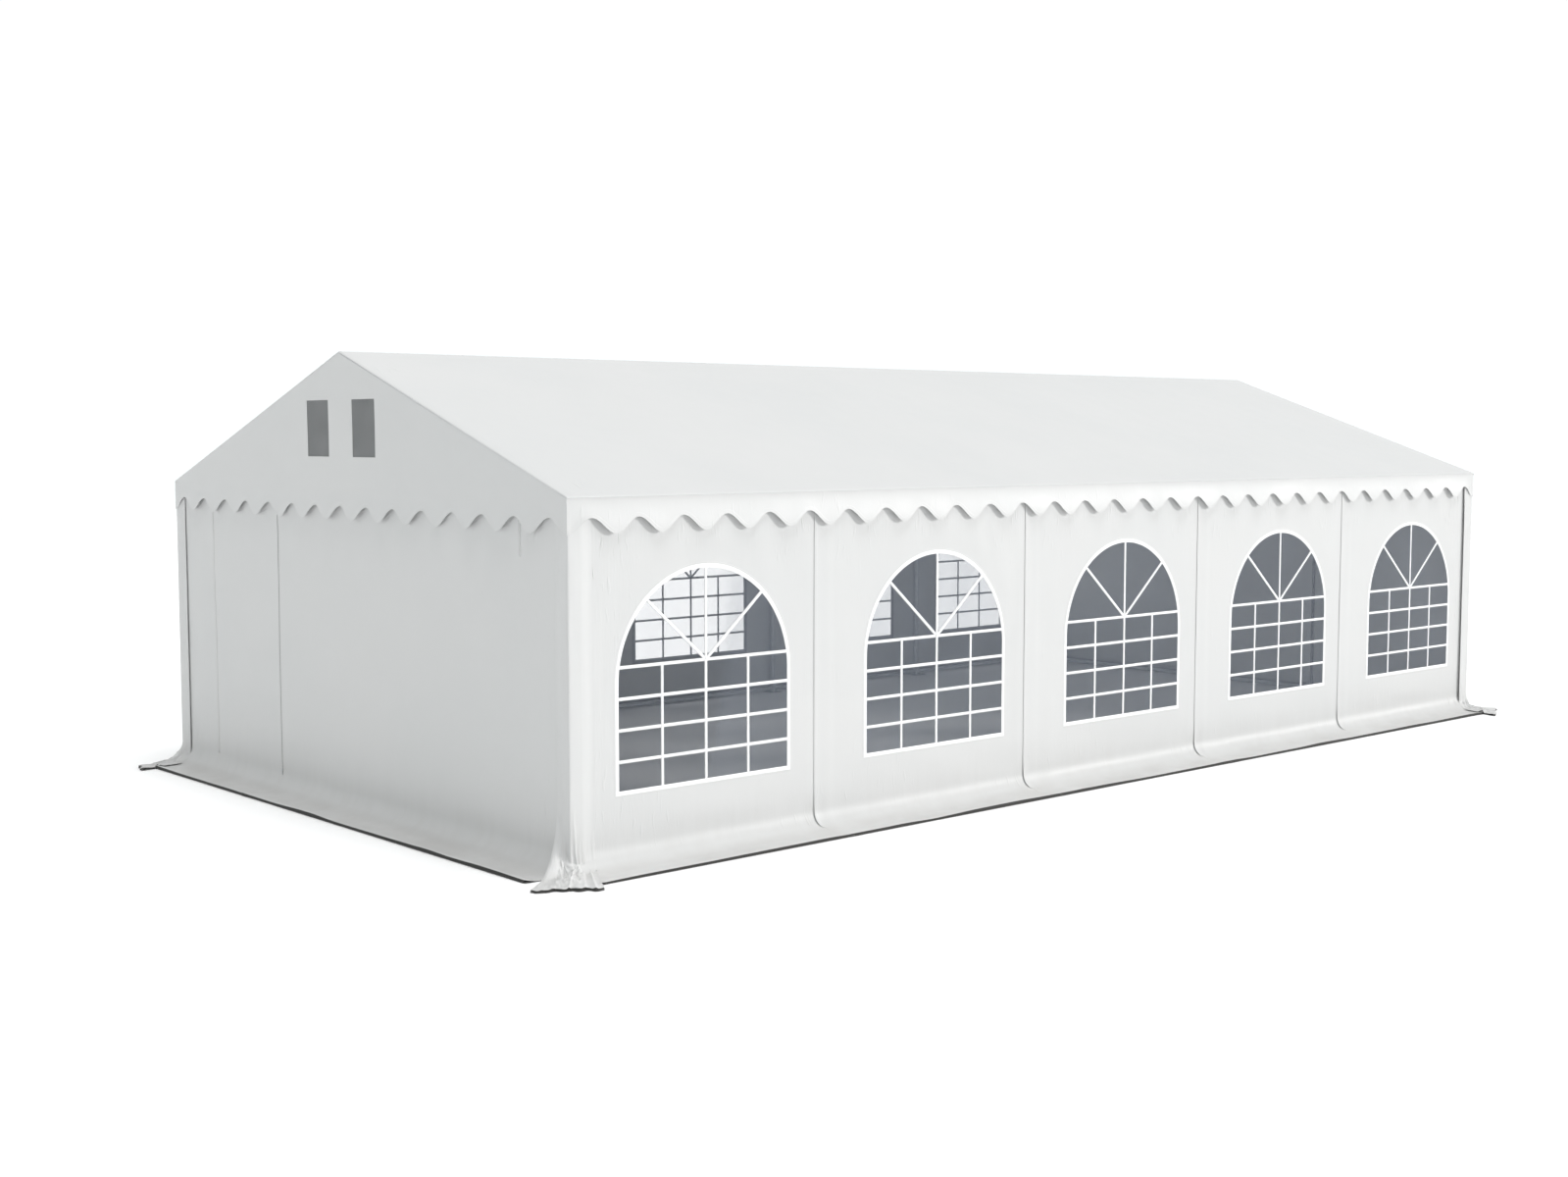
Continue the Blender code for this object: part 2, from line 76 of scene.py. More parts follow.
# A wire is a socket that can stand in a sum, so that shader maths reads as maths
class Wire:
    def __init__(self, board, socket):
        self.board, self.socket = board, socket

    def out(self, name):
        return Wire(self.board, self.socket.node.outputs[name])

    def maths(self, operation, first, second=0.0):
        return self.board.add("ShaderNodeMath", {0: first, 1: second}, operation=operation)

    def __add__(self, other):
        return self.maths("ADD", self, other)

    def __sub__(self, other):
        return self.maths("SUBTRACT", self, other)

    def __rsub__(self, other):
        return self.maths("SUBTRACT", other, self)

    def __mul__(self, other):
        return self.maths("MULTIPLY", self, other)

    def __truediv__(self, other):
        return self.maths("DIVIDE", self, other)

    __radd__, __rmul__ = __add__, __mul__


# A board holds one node tree and adds nodes to it
class Board:
    def __init__(self, tree):
        self.tree = tree
        self.shader = tree.nodes.get("Principled BSDF")

    def add(self, kind, values=None, out=0, **settings):
        node = self.tree.nodes.new(kind)
        for name, value in settings.items():
            setattr(node, name, value)
        for key, value in (values or {}).items():
            self.feed(node.inputs[key], value)
        return Wire(self, node.outputs[out]) if node.outputs else node

    def feed(self, socket, value):
        if isinstance(value, Wire):
            self.tree.links.new(value.socket, socket)
        else:
            socket.default_value = value

    def paint(self, **fed):
        # Feeds the shader's sockets; a height goes in as bump
        for name, value in fed.items():
            if name == "Height":
                name = "Normal"
                value = self.add("ShaderNodeBump", {"Strength": 1.0, "Distance": 1.0, "Height": value})
            self.feed(self.shader.inputs[name.replace("_", " ")], value)

    def place(self):
        return self.add("ShaderNodeTexCoord", out="Object")

    def cloth(self):
        return self.add("ShaderNodeUVMap", uv_map="cloth")

    def mark(self, name):
        return self.add("ShaderNodeAttribute", out="Fac", attribute_name=name)

    def split(self, vector, axis):
        return self.add("ShaderNodeSeparateXYZ", {0: vector}, out=axis)

    def vector(self, **axes):
        return self.add("ShaderNodeCombineXYZ", axes)

    def mix(self, share, first, second):
        ends = [end if isinstance(end, Wire) else (*end, 1.0) for end in (first, second)]
        return self.add("ShaderNodeMix", {0: share, 6: ends[0], 7: ends[1]}, out=2, data_type="RGBA")

    def between(self, value, low, high):
        # 0 below low, 1 above high, smooth in between
        return self.add("ShaderNodeMapRange", {"Value": value, "From Min": low, "From Max": high},
                        interpolation_type="SMOOTHSTEP")

    def noise(self, vector, scale, detail=2.0, roughness=0.5):
        # The scale is one number, or one for each axis
        if isinstance(scale, tuple):
            vector = self.add("ShaderNodeVectorMath", {0: vector, 1: scale}, operation="MULTIPLY")
            scale = 1.0
        return self.add("ShaderNodeTexNoise",
                        {"Vector": vector, "Scale": scale, "Detail": detail, "Roughness": roughness})

    def joined(self, parts):
        whole = self.add("GeometryNodeJoinGeometry")
        for part in parts:
            self.feed(whole.socket.node.inputs[0], part)
        return whole


def newFinish(name, colour, roughness, **fixed):
    # A material and its board; fixed numbers are set on the shader's own sockets
    material = bpy.data.materials.new(name)
    material.use_nodes = True
    board = Board(material.node_tree)
    board.paint(Base_Color=(*colour, 1.0), Roughness=roughness, **fixed)
    return material, board


sheeting = {
    "white": (0.612, 0.616, 0.615),
    "cool": (0.600, 0.607, 0.607),
    "darkTone": (0.520, 0.516, 0.505),
    "flapTone": (0.505, 0.503, 0.495),
    # painted shade for cloth that faces down near the ground
    "undersideShade": (0.10, 0.098, 0.092),
    "hemShadow": (0.020, 0.0195, 0.018),  # painted contact shadow on the hem that touches the ground
    "roughness": 0.47,
    "darkToneTop": 0.50,  # the cloth gets darker towards the bottom, up to this height
    "darkToneMost": 0.36,
    "edgeWear": 0.16,
    "flapTop": 0.050,  # the lying flap is darker up to here
    "weavePitch": 0.0024,
    "weaveDepth": 0.000018,
    "creaseDepth": 0.0016,
    "fineCrease": 0.00026,
    "nickDepth": 0.0024,
    "crumpleDepth": 0.0011,
    "hemDepth": 0.0004,
    "hemWidth": 0.024,
}


def sheetingFinish(look):
    # Coated white cloth: a faint weave under the coat, soft creases, welded hems, darker towards the foot and
    # over the lying flap, painted shade under downward faces near the ground and a painted contact shadow on
    # the ground hem
    material, board = newFinish("whiteSheeting", look["white"], look["roughness"],
                                Specular_IOR_Level=0.42, Sheen_Weight=0.06)
    flat, place = board.cloth(), board.place()
    height = board.split(place, "Z")
    hem, creased, turned = (board.mark(name) for name in ("hem", "creased", "turned"))

    patches = board.between(board.noise(place, 0.9, 3.0), 0.35, 0.70)
    streaks = board.between(board.noise(place, (9.0, 9.0, 0.7), 4.0), 0.35, 0.75)
    # darker towards the foot, in streaks
    low = 1 - board.between(height, 0.0, look["darkToneTop"])
    footDarkening = low * low * (0.35 + 0.65 * streaks) * look["darkToneMost"]
    # darker over the lying flap, in blotches
    flapBlotches = board.between(board.noise(place, (3.0, 3.0, 9.0), 4.0), 0.3, 0.7)
    flapDarkening = (1 - board.between(height, 0.004, look["flapTop"])) * (0.45 + 0.55 * flapBlotches)
    # painted shade on cloth that faces down near the ground
    facing = board.split(board.add("ShaderNodeNewGeometry", out="Normal"), "Z")
    below = (1 - board.between(facing, -0.75, -0.35)) * (1 - board.between(height, 0.03, 0.09))
    # painted contact shadow on the hem turned down to the ground
    hemShadowed = board.between(turned, 0.05, 0.15)
    edgeWear = (1 - board.between(hem, 0.0, 0.006)) * look["edgeWear"]
    colour = look["white"]
    for share, shade in ((patches, "cool"), (footDarkening, "darkTone"), (flapDarkening, "flapTone"), (below, "undersideShade"),
                         (hemShadowed, "hemShadow"), (edgeWear, "darkTone")):
        colour = board.mix(share, colour, look[shade])
    rubbed = board.noise(place, 6.0, 4.0)
    roughness = look["roughness"] - 0.06 + 0.12 * rubbed + 0.10 * footDarkening + 0.45 * turned

    across = board.split(flat, "X")
    along = across.out("Y")
    turns = 2 * math.pi / look["weavePitch"]
    weave = across.maths("SINE", across * turns) * along.maths("SINE", along * turns)
    creases = board.noise(flat, (15.0, 1.7, 1.0), 3.0, 0.55)
    crumple = board.noise(flat, (5.0, 4.0, 1.0), 4.0, 0.55)
    wander = board.noise(flat, (4.0, 3.0, 1.0), 2.0)
    shifted = board.vector(X=across + 0.09 * wander, Y=along)
    spots = board.noise(flat, (2.2, 1.9, 1.0), 2.0)
    fine = board.noise(shifted, (27.0, 6.0, 1.0), 4.0, 0.6) * (0.25 + 0.75 * board.between(spots, 0.35, 0.60))
    # short upright nicks, as cloth gets where it is pulled tight by its edge
    nicks = board.between(board.noise(shifted, (42.0, 6.5, 1.0), 1.5), 0.60, 0.78)
    nicks = nicks * board.between(spots, 0.46, 0.62)
    welded = board.between(hem, look["hemWidth"] - 0.002, look["hemWidth"] + 0.002)
    lift = (weave * look["weaveDepth"]
            + creases * look["creaseDepth"] * (0.10 + 1.4 * creased)
            + fine * look["fineCrease"] * (0.03 + 1.1 * creased)
            + nicks * look["nickDepth"] * (0.22 + 1.5 * creased)
            + crumple * look["crumpleDepth"]
            - welded * look["hemDepth"])
    board.paint(Base_Color=colour, Roughness=roughness, Height=lift)
    return material


# Plain finishes: two shades in soft clouds over a fine grain
# rub is what the clouds do to the roughness, and depth is the bump of the grain and of the clouds
stripLook = {"light": (0.90, 0.905, 0.91), "dark": (0.83, 0.84, 0.85), "roughness": 0.38, "clouds": 7.0,
             "shown": (0.4, 0.8), "rub": (-0.05, 0.1), "grain": (420.0, 2.0), "depth": (0.00006, 0.0006)}
plasticLook = {"light": (0.115, 0.118, 0.122), "dark": (0.20, 0.205, 0.21), "roughness": 0.5, "clouds": 30.0,
               "shown": (0.45, 0.75), "rub": (-0.08, 0.2), "grain": ((900.0, 900.0, 300.0), 1.0),
               "depth": (0.0001, 0.0)}
threadLook = {"light": (0.66, 0.665, 0.665), "dark": (0.52, 0.525, 0.53), "roughness": 0.6, "clouds": 12.0,
              "shown": (0.4, 0.75), "rub": (-0.05, 0.15), "grain": (1800.0, 1.0), "depth": (0.00008, 0.0)}


def plainFinish(name, look, **fixed):
    material, board = newFinish(name, look["light"], look["roughness"], **fixed)
    place = board.place()
    cloud = board.noise(place, look["clouds"], 3.0)
    grain = board.noise(place, *look["grain"])
    board.paint(Base_Color=board.mix(board.between(cloud, *look["shown"]), look["light"], look["dark"]),
                Roughness=look["roughness"] + look["rub"][0] + look["rub"][1] * cloud,
                Height=grain * look["depth"][0] + cloud * look["depth"][1])
    return material


filmLook = {"tint": (0.295, 0.335, 0.41), "haze": 0.092, "smearHaze": 0.03, "edgeHaze": 0.12,
            "roughness": 0.09, "ripple": 0.004}


def filmFinish(look):
    # Clear film: thin haze that thickens at a low angle, and slow ripples in its gloss
    material, board = newFinish("clearFilm", look["tint"], look["roughness"])
    place = board.place()
    glance = board.add("ShaderNodeLayerWeight", {"Blend": 0.35}, out="Fresnel")
    smear = board.noise(place, (3.0, 3.0, 1.2), 4.0)
    haze = look["haze"] + look["smearHaze"] * board.between(smear, 0.45, 0.8)
    board.paint(Alpha=haze + look["edgeHaze"] * glance * glance, Roughness=look["roughness"] + 0.10 * smear,
                Height=board.noise(place, (4.0, 4.0, 2.2), 2.0) * look["ripple"])
    return material


netLook = {"thread": (0.178, 0.187, 0.190), "pale": (0.27, 0.275, 0.28), "roughness": 0.75,
           "pitch": 0.0022, "opening": 0.60, "depth": -0.0003}


def netFinish(look):
    # Fine grey netting: crossing threads, with small open squares between them
    material, board = newFinish("ventNet", look["thread"], look["roughness"])
    flat = board.cloth()
    across = board.split(flat, "X")
    turns = math.pi / look["pitch"]
    first, second = (axis.maths("ABSOLUTE", axis.maths("SINE", axis * turns))
                     for axis in (across, across.out("Y")))
    gaps = board.between(first, 0.55, 0.75) * board.between(second, 0.55, 0.75)
    board.paint(Alpha=1 - gaps * look["opening"], Height=(first + second) * look["depth"],
                Base_Color=board.mix(board.noise(flat, 5.0), look["thread"], look["pale"]))
    return material


zincLook = {"light": (0.62, 0.64, 0.65), "dark": (0.43, 0.45, 0.47), "roughness": 0.40, "spangle": 70.0}


def zincFinish(look):
    # Zinc-coated steel tube with its spangle
    material, board = newFinish("zincTube", look["light"], look["roughness"], Metallic=1.0)
    place = board.place()
    spangle = board.add("ShaderNodeTexVoronoi", {"Vector": place, "Scale": look["spangle"]}, out="Color")
    grey = board.add("ShaderNodeSeparateColor", {0: spangle})
    cloud = board.noise(place, 8.0, 3.0)
    board.paint(Base_Color=board.mix(grey * 0.55 + cloud * 0.35, look["light"], look["dark"]),
                Roughness=look["roughness"] - 0.08 + 0.18 * grey, Height=grey * 0.00003 + cloud * 0.0002)
    return material


clothFinish = sheetingFinish(sheeting)
thread = plainFinish("whiteThread", threadLook, Sheen_Weight=0.2)
zipGrey = plainFinish("zipGrey", plasticLook)
stripWhite = plainFinish("whiteStrip", stripLook)
clearFilm = filmFinish(filmLook)
ventNet = netFinish(netLook)
zincTube = zincFinish(zincLook)
print("finishes: sheeting, strips, film, netting, zinc")


# Flat cloth
noiseTable = np.random.default_rng(5).uniform(-1.0, 1.0, (256, 256))


def swell(x, y, seed):
    # Smooth noise from -1 to 1 with one cell per unit
    column, row = np.floor(x), np.floor(y)
    fx, fy = (share * share * share * (share * (share * 6 - 15) + 10) for share in (x - column, y - row))
    i, j = column.astype(int) + seed * 17, row.astype(int) + seed * 29
    a, b, c, d = (noiseTable[(i + right) % 256, (j + up) % 256] for up in (0, 1) for right in (0, 1))
    return (a * (1 - fx) + b * fx) * (1 - fy) + (c * (1 - fx) + d * fx) * fy


def ease(value, low, high):
    share = np.clip((value - low) / (high - low), 0.0, 1.0)
    return share * share * (3 - 2 * share)


def evenLoop(points, pitch, closed=True):
    # The same outline with a point at each corner and about one pitch apart
    spaced = []
    for (x0, y0), (x1, y1) in zip(points, points[1:] + points[:1] if closed else points[1:]):
        steps = max(1, round(math.hypot(x1 - x0, y1 - y0) / pitch))
        spaced += [(x0 + (x1 - x0) * (k / steps), y0 + (y1 - y0) * (k / steps)) for k in range(steps)]
    return spaced if closed else spaced + [points[-1]]


def insideLoop(points, loop):
    px, py = points[:, 0], points[:, 1]
    inside = np.zeros(len(points), bool)
    for (x0, y0), (x1, y1) in zip(loop, loop[1:] + loop[:1]):
        crosses = (y0 > py) != (y1 > py)
        if y0 != y1:
            inside ^= crosses & (px < (x1 - x0) * (py - y0) / (y1 - y0) + x0)
    return inside


def cutCloth(outline, holes, pitch, creases=()):
    # A flat sheet cut to an outline with holes, filled with even triangles that follow its creases
    loops = [evenLoop(loop, pitch) for loop in [outline] + holes]
    lines = [evenLoop(line, pitch, False) for line in creases]
    rim = np.array([point for line in loops + lines for point in line])
    low, high = rim.min(0), rim.max(0)
    rows = np.arange(low[1] + pitch / 2, high[1], pitch * 0.866)
    grid = np.array([(x + (pitch / 2 if k % 2 else 0.0), y) for k, y in enumerate(rows)
                     for x in np.arange(low[0] + pitch / 2, high[0], pitch)])
    keep = insideLoop(grid, loops[0])
    for loop in loops[1:]:
        keep &= ~insideLoop(grid, loop)
    tree = kdtree.KDTree(len(rim))
    for k, (x, y) in enumerate(rim):
        tree.insert((x, y, 0.0), k)
    tree.balance()
    grid = [p for p in grid[keep] if tree.find((p[0], p[1], 0.0))[2] > pitch * 0.55]
    points = [Vector(p) for p in rim] + [Vector(p) for p in grid]
    edges, start = [], 0
    for loop in loops:
        edges += [(start + k, start + (k + 1) % len(loop)) for k in range(len(loop))]
        start += len(loop)
    for line in lines:
        edges += [(start + k, start + k + 1) for k in range(len(line) - 1)]
        start += len(line)
    made = geometry.delaunay_2d_cdt(points, edges, [list(range(len(loops[0])))], 1, 0.00001)
    verts = np.array([tuple(v) for v in made[0]])
    centres = np.array([verts[list(face)].mean(0) for face in made[2]])
    drop = np.zeros(len(centres), bool)
    for loop in loops[1:]:
        drop |= insideLoop(centres, loop)
    turned = []
    for face in (list(face) for face, gone in zip(made[2], drop) if not gone):
        a, b, c = verts[face[:3]]
        positive = (b[0] - a[0]) * (c[1] - a[1]) - (b[1] - a[1]) * (c[0] - a[0]) > 0
        turned.append(face if positive else face[::-1])
    used = sorted({k for face in turned for k in face})
    number = {k: n for n, k in enumerate(used)}
    flat = np.zeros((len(used), 3))
    flat[:, :2] = verts[used]
    return flat, [[number[k] for k in face] for face in turned]


def gridCloth(acrossAt, heightAt):
    # A flat sheet of quads over two lists of places
    flat = np.array([(a, h, 0.0) for h in heightAt for a in acrossAt])
    wide = len(acrossAt)
    return flat, [[r * wide + c, r * wide + c + 1, (r + 1) * wide + c + 1, (r + 1) * wide + c]
                  for r in range(len(heightAt) - 1) for c in range(wide - 1)]


def joinCloth(parts):
    # Several flat sheets as one
    faces, start = [], 0
    for flat, own in parts:
        faces += [[k + start for k in face] for face in own]
        start += len(flat)
    return np.concatenate([flat for flat, own in parts]), faces


def freeEdgeDistance(flat, faces):
    # How far each point of flat cloth is from the cloth's nearest free edge
    uses = {}
    for face in faces:
        for a, b in zip(face, face[1:] + face[:1]):
            key = (min(a, b), max(a, b))
            uses[key] = uses.get(key, 0) + 1
    rim = [key for key, count in uses.items() if count == 1]
    tree = kdtree.KDTree(len(rim) * 3)
    for k, (a, b) in enumerate(rim):
        for n, share in enumerate((0.0, 0.33, 0.67)):
            tree.insert(tuple(flat[a] * (1 - share) + flat[b] * share), k * 3 + n)
    tree.balance()
    return np.array([tree.find(tuple(p))[2] for p in flat])


def flatSize(flat):
    size = flat.max(0) - flat.min(0)
    return round(float(size[0]), 3), round(float(size[1]), 3)


def finishPiece(item, nodes=()):
    # Every piece rides the one body and stands for its nodes
    bpy.context.scene.collection.objects.link(item)
    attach(item, "root")
    if nodes:
        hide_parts(*nodes)
    return item


def hang(name, cloth, placeAt, matrix, finish, slot, nodes=(), thickness=None, **marks):
    # Makes a piece: the flat cloth's points go to placeAt(flat), and then to its side
    flat, faces = cloth
    mesh = bpy.data.meshes.new(name)
    mesh.from_pydata(placeAt(flat).tolist(), [], faces)
    mesh.transform(matrix)
    corners, edges = np.zeros(len(mesh.loops), int), np.zeros(len(mesh.loops), int)
    mesh.loops.foreach_get("vertex_index", corners)
    mesh.loops.foreach_get("edge_index", edges)
    layer = mesh.uv_layers.new(name="cloth")
    layer.data.foreach_set("uv", flat[corners, :2].astype(np.float32).ravel())
    for key, values in marks.items():
        mesh.attributes.new(key, "FLOAT", "POINT").data.foreach_set("value", values.astype(np.float32))
    mesh.shade_smooth()
    # the cut edges stay crisp once the cloth has its thickness
    free = np.bincount(edges, minlength=len(mesh.edges)) == 1
    mesh.attributes.new("sharp_edge", "BOOLEAN", "EDGE").data.foreach_set("value", free)
    mesh.materials.append(finish)
    item = bpy.data.objects.new(name, mesh)
    if thickness:
        solid = item.modifiers.new("cloth", "SOLIDIFY")
        solid.thickness, solid.offset = thickness, -1.0
    return finishPiece(item, nodes)


def hangCloth(name, cloth, placeAt, matrix, node, held, supports, shaped=True, **marks):
    # A piece of the white sheeting, hung with the cloth's thickness; its flat size is worked out and not kept
    item = hang(name, cloth, placeAt, matrix, clothFinish, "white_sheeting", [node], tent["cloth"], **marks)
    flatSize(cloth[0])


# Walls hang straight down, turn outwards at the foot and lie on the ground
wallFold = {
    "radius": 0.13,
    "reach": 0.311,
    "ground": 0.002,
    "turnDown": 0.024,  # the flap's hem, bent down to the ground
    # the flaps' outer corners are cut away at the corners of the tent: along the edge, and up the side
    "snips": ((0.030, 0.030), (0.200, 0.150)),
    "edgeLift": 0.022,  # the flap's outer edge stands a little off the ground
    "least": 0.0018,  # between the wall's plane and its cloth
    "bulge": 0.0042,
    "folds": (0.0004, 0.0012, 0.0008),  # everywhere, under the valance and by the posts
    "footSwell": 0.0024,
}
bendTop = wallFold["ground"] + wallFold["radius"]
bendLength = wallFold["radius"] * math.pi / 2
turnLine = bendTop - bendLength - (wallFold["reach"] - wallFold["radius"])
wallFoot = turnLine - wallFold["turnDown"]
longPosts = np.array([-4.97, -3.0, -1.0, 1.0, 3.0, 4.97])
endPosts = np.array([-2.52, 2.52])

windowLook = {
    "half": 0.667,
    "bottom": 0.428,
    "top": 1.7285,
    "transom": 1.164,
    "rows": (0.612, 0.796, 0.980),
    "columns": (-0.3335, 0.0, 0.3335),
    "slant": (0.449, 0.389),  # across and up, of the bars in the round top
    "barWidth": 0.020,
    "frameWidth": 0.026,
    "frameRise": 0.0015,
    "frameRound": 0.002,
    "frameSteps": (44, 21, 64),  # along the foot, each side and the round top
    "margin": 0.025,  # the film reaches this far behind the cloth
    "filmPitch": 0.036,
}
springing = windowLook["top"] - windowLook["half"]


def windowGap(across, height):
    # Distance outside the window's outline, negative inside it
    side = np.maximum(np.abs(across) - windowLook["half"], windowLook["bottom"] - height)
    return np.where(height > springing, np.hypot(across, height - springing) - windowLook["half"], side)


def wallSwell(across, height, seed, onLong):
    # How far the cloth bulges out of its plane, never inwards
    posts = longPosts if onLong else endPosts
    postGap = np.abs(across[:, None] - posts[None, :]).min(1)
    under = ease(height, 1.15, 2.1)
    foot = 1 - ease(height, 0.10, 0.55)
    out = wallFold["bulge"] * ease(postGap, 0.03, 0.55) * swell(across / 0.95, height / 0.80, seed)
    folds = swell(across / 0.115 + 0.6 * swell(across / 0.7, height / 0.5, seed + 1), height / 0.95, seed + 2)
    depth, depthUnder, depthByPost = wallFold["folds"]
    out = out + folds * (depth + depthUnder * under + depthByPost * (1 - ease(postGap, 0.08, 0.40)))
    out = out + wallFold["footSwell"] * foot * swell(across / 0.30, height / 0.13, seed + 3)
    if onLong:
        # the film and its strips hold the cloth flat
        bay = (across + tent["halfLength"]) % tent["bay"] - tent["bay"] / 2
        out = out * (0.30 + 0.70 * ease(windowGap(bay, height), 0.0, 0.16))
    out = out + wallFold["least"]
    return 0.5 * (out + np.sqrt(out * out + 0.0006 ** 2))


def wallCreases(across, height, onLong):
    # Where the cloth is more creased: by the corners, under the valance and over the foot
    corner = (tent["halfLength"] if onLong else tent["halfWidth"]) - np.abs(across)
    nearCorner = 0.9 * (1 - ease(corner, 0.12, 0.60))
    nearTop = 0.45 * ease(height, 1.55, 2.1)
    nearFoot = 0.22 * (1 - ease(np.abs(height - 0.12), 0.05, 0.35))
    return np.clip(nearCorner + nearTop + nearFoot, 0.0, 1.0)


def wallPlace(side, offset=0.0, edgeRise=None):
    # Hangs flat wall cloth: across runs along the wall from its middle, offset moves it there
    onLong, seed = side in ("front", "rear"), sideSeeds[side]

    def placeAt(flat):
        across, height = flat[:, 0] + offset, flat[:, 1]
        past = np.clip(bendTop - height, 0.0, None)
        angle = np.clip(past / wallFold["radius"], 0.0, math.pi / 2)
        turned = np.clip(turnLine - height, 0.0, None)
        lying = np.clip(past - bendLength, 0.0, None) - turned
        faceOut, faceUp = np.cos(angle), np.sin(angle)
        out = wallFold["radius"] * (1 - faceOut) + lying
        up = np.where(past > 0, wallFold["ground"] + wallFold["radius"] * (1 - faceUp), height)
        rise = edgeRise(flat[:, 0], height) if edgeRise else 0.0 * height
        proud = flat[:, 2] + wallSwell(across, height, seed, onLong) + rise
        wander = 0.20 * swell(across / 0.45, across * 0, seed + 5) + (0.05 * across if onLong else 0.0)
        lift = wallFold["edgeLift"] * ease(lying, 0.09, 0.20) * (1.0 + wander)
        up = up + faceUp * proud + lift
        up = up - (up - 0.003) * turned / wallFold["turnDown"]
        # where two sheets overlap, the upper one's hem hangs outside the lower one's
        out = out + 0.003 * ease(rise, 0.0, 0.0004) * ease(turned, 0.0, 0.010)
        return np.stack([across, -(out + faceOut * proud), np.maximum(up, wallFold["ground"])], 1)
    return placeAt


def wallOut(height):
    # How far a wall stands out at this height because of its bend
    share = np.clip(1 - (height - wallFold["ground"]) / wallFold["radius"], 0.0, 1.0)
    return wallFold["radius"] * (1 - np.sqrt(1 - share ** 2))


def flapTop(distance):
    # How high a wall's flap lies this far out from the wall
    radius = wallFold["radius"]
    share = np.clip(1 - distance / radius, 0.0, 1.0)
    lift = 1.25 * wallFold["edgeLift"] * ease(distance - radius, 0.09, 0.18)
    height = wallFold["ground"] + radius * (1 - np.sqrt(1 - share ** 2)) + lift + 0.004
    return height * (1 - ease(distance, wallFold["reach"] - 0.004, wallFold["reach"] + 0.016))


def hangWall(name, side, cloth, node, support, offset=0.0, edgeRise=None):
    # A sheet of wall, hung from its support
    flat = cloth[0]
    hangCloth(name, cloth, wallPlace(side, offset, edgeRise), sidePlaces[side], node, "hung", [support],
              hem=freeEdgeDistance(*cloth),
              creased=wallCreases(flat[:, 0] + offset, flat[:, 1], side in ("front", "rear")),
              turned=np.clip((turnLine - flat[:, 1]) / wallFold["turnDown"], 0.0, 1.0))


# Side panels with their windows
panelLook = {
    "pitch": 0.027,
    "lap": 0.119,
    "lapRise": 0.0019,
    "lapCurl": 0.0032,  # the free edge of a lap lifts off its neighbour
    "lapHeld": 0.05,  # a lap lies close within this distance of the seam
    "cornerRadius": 0.045,
    "cornerDrop": 0.075,
    "cornerStart": 0.060,  # below the top of the bend
}


def windowOutline(grow, steps):
    half, foot = windowLook["half"] + grow, windowLook["bottom"] - grow
    turns = [math.pi * step / steps for step in range(steps + 1)]
    return [(-half, foot), (half, foot)] + [(half * math.cos(turn), springing + half * math.sin(turn))
                                            for turn in turns]


def cutCorner(edge, inward, cut):
    # A sheet's cut corner from its foot up, with the end of its hem's fold line in the middle
    snip, rise = wallFold["snips"][cut]
    fold = edge + inward * snip * (1 - wallFold["turnDown"] / rise)
    return [(edge + inward * snip, wallFoot), (fold, turnLine), (edge, wallFoot + rise)]


def panelOutline(kind):
    # The panel's outline and the fold line of its hem
    left, right, top = -tent["bay"] / 2, tent["bay"] / 2, tent["wallTop"]
    points = cutCorner(right, -1, 1) if kind == "last" else [(right, wallFoot), (right, turnLine)]
    points.append((right, top))
    if kind == "first":
        foot, low, side = cutCorner(left, 1, 0)
        return [foot] + points + [(left, top), side, low], [low, points[1]]
    left -= panelLook["lap"]
    radius = panelLook["cornerRadius"]
    low = (left + radius, turnLine)
    # the lap's edge turns away in a round sweep at the foot of the wall
    start = bendTop - panelLook["cornerStart"]
    sweep = [(left + radius * (1 - math.cos(turn)), start - panelLook["cornerDrop"] * math.sin(turn))
             for turn in (math.pi / 2 * step / 12 for step in range(13))]
    return [(left + radius, wallFoot)] + points + [(left, top)] + sweep + [low], [low, points[1]]


def lapRise(across, height):
    # How far a panel's lap stands off the panel under it
    seam = -tent["bay"] / 2
    resting = panelLook["lapRise"] * (1 - ease(across, seam, seam + panelLook["lapHeld"]))
    edge = 1 - ease(across - seam + panelLook["lap"], 0.0, 0.055)
    wander = 0.75 + 0.35 * swell(height / 0.35, across * 0, 41)
    foot = 1 + 1.7 * (1 - ease(np.abs(height - 0.08), 0.03, 0.17))
    lying = ease(height, -0.04, 0.05)
    return resting * (0.25 + 0.75 * lying) + panelLook["lapCurl"] * edge * wander * foot * lying


panels = {}
for kind in ("first", "middle", "last"):
    outline, crease = panelOutline(kind)
    panels[kind] = cutCloth(outline, [windowOutline(0.0, 48)], panelLook["pitch"], [crease])
for side, bay, centre in sideBays:
    kind = "first" if bay == 0 else "last" if bay == tent["bays"] - 1 else "middle"
    hangWall(f"{side}Panel{bay + 1}", side, panels[kind], f"{side}_wall_{bay + 1}", f"{side}_eave_purlin",
             centre, lapRise if bay else None)
print("side panels:", len(panels["middle"][1]), "faces each")


# Window film and its white strips
def newTree(name, inputs):
    # A geometry tree whose inputs are numbers unless listed here; the finish is always one
    kinds = {"Geometry": "Geometry", "Finish": "Material", "Turn": "Rotation",
             "Scallops": "Int", "Columns": "Int", "Rows": "Int"}
    tree = bpy.data.node_groups.new(name, "GeometryNodeTree")
    for label in ("Geometry", *inputs, "Finish"):
        tree.interface.new_socket(label, in_out="INPUT", socket_type="NodeSocket" + kinds.get(label, "Float"))
    tree.interface.new_socket("Geometry", in_out="OUTPUT", socket_type="NodeSocketGeometry")
    board = Board(tree)
    return board, board.add("NodeGroupInput").out


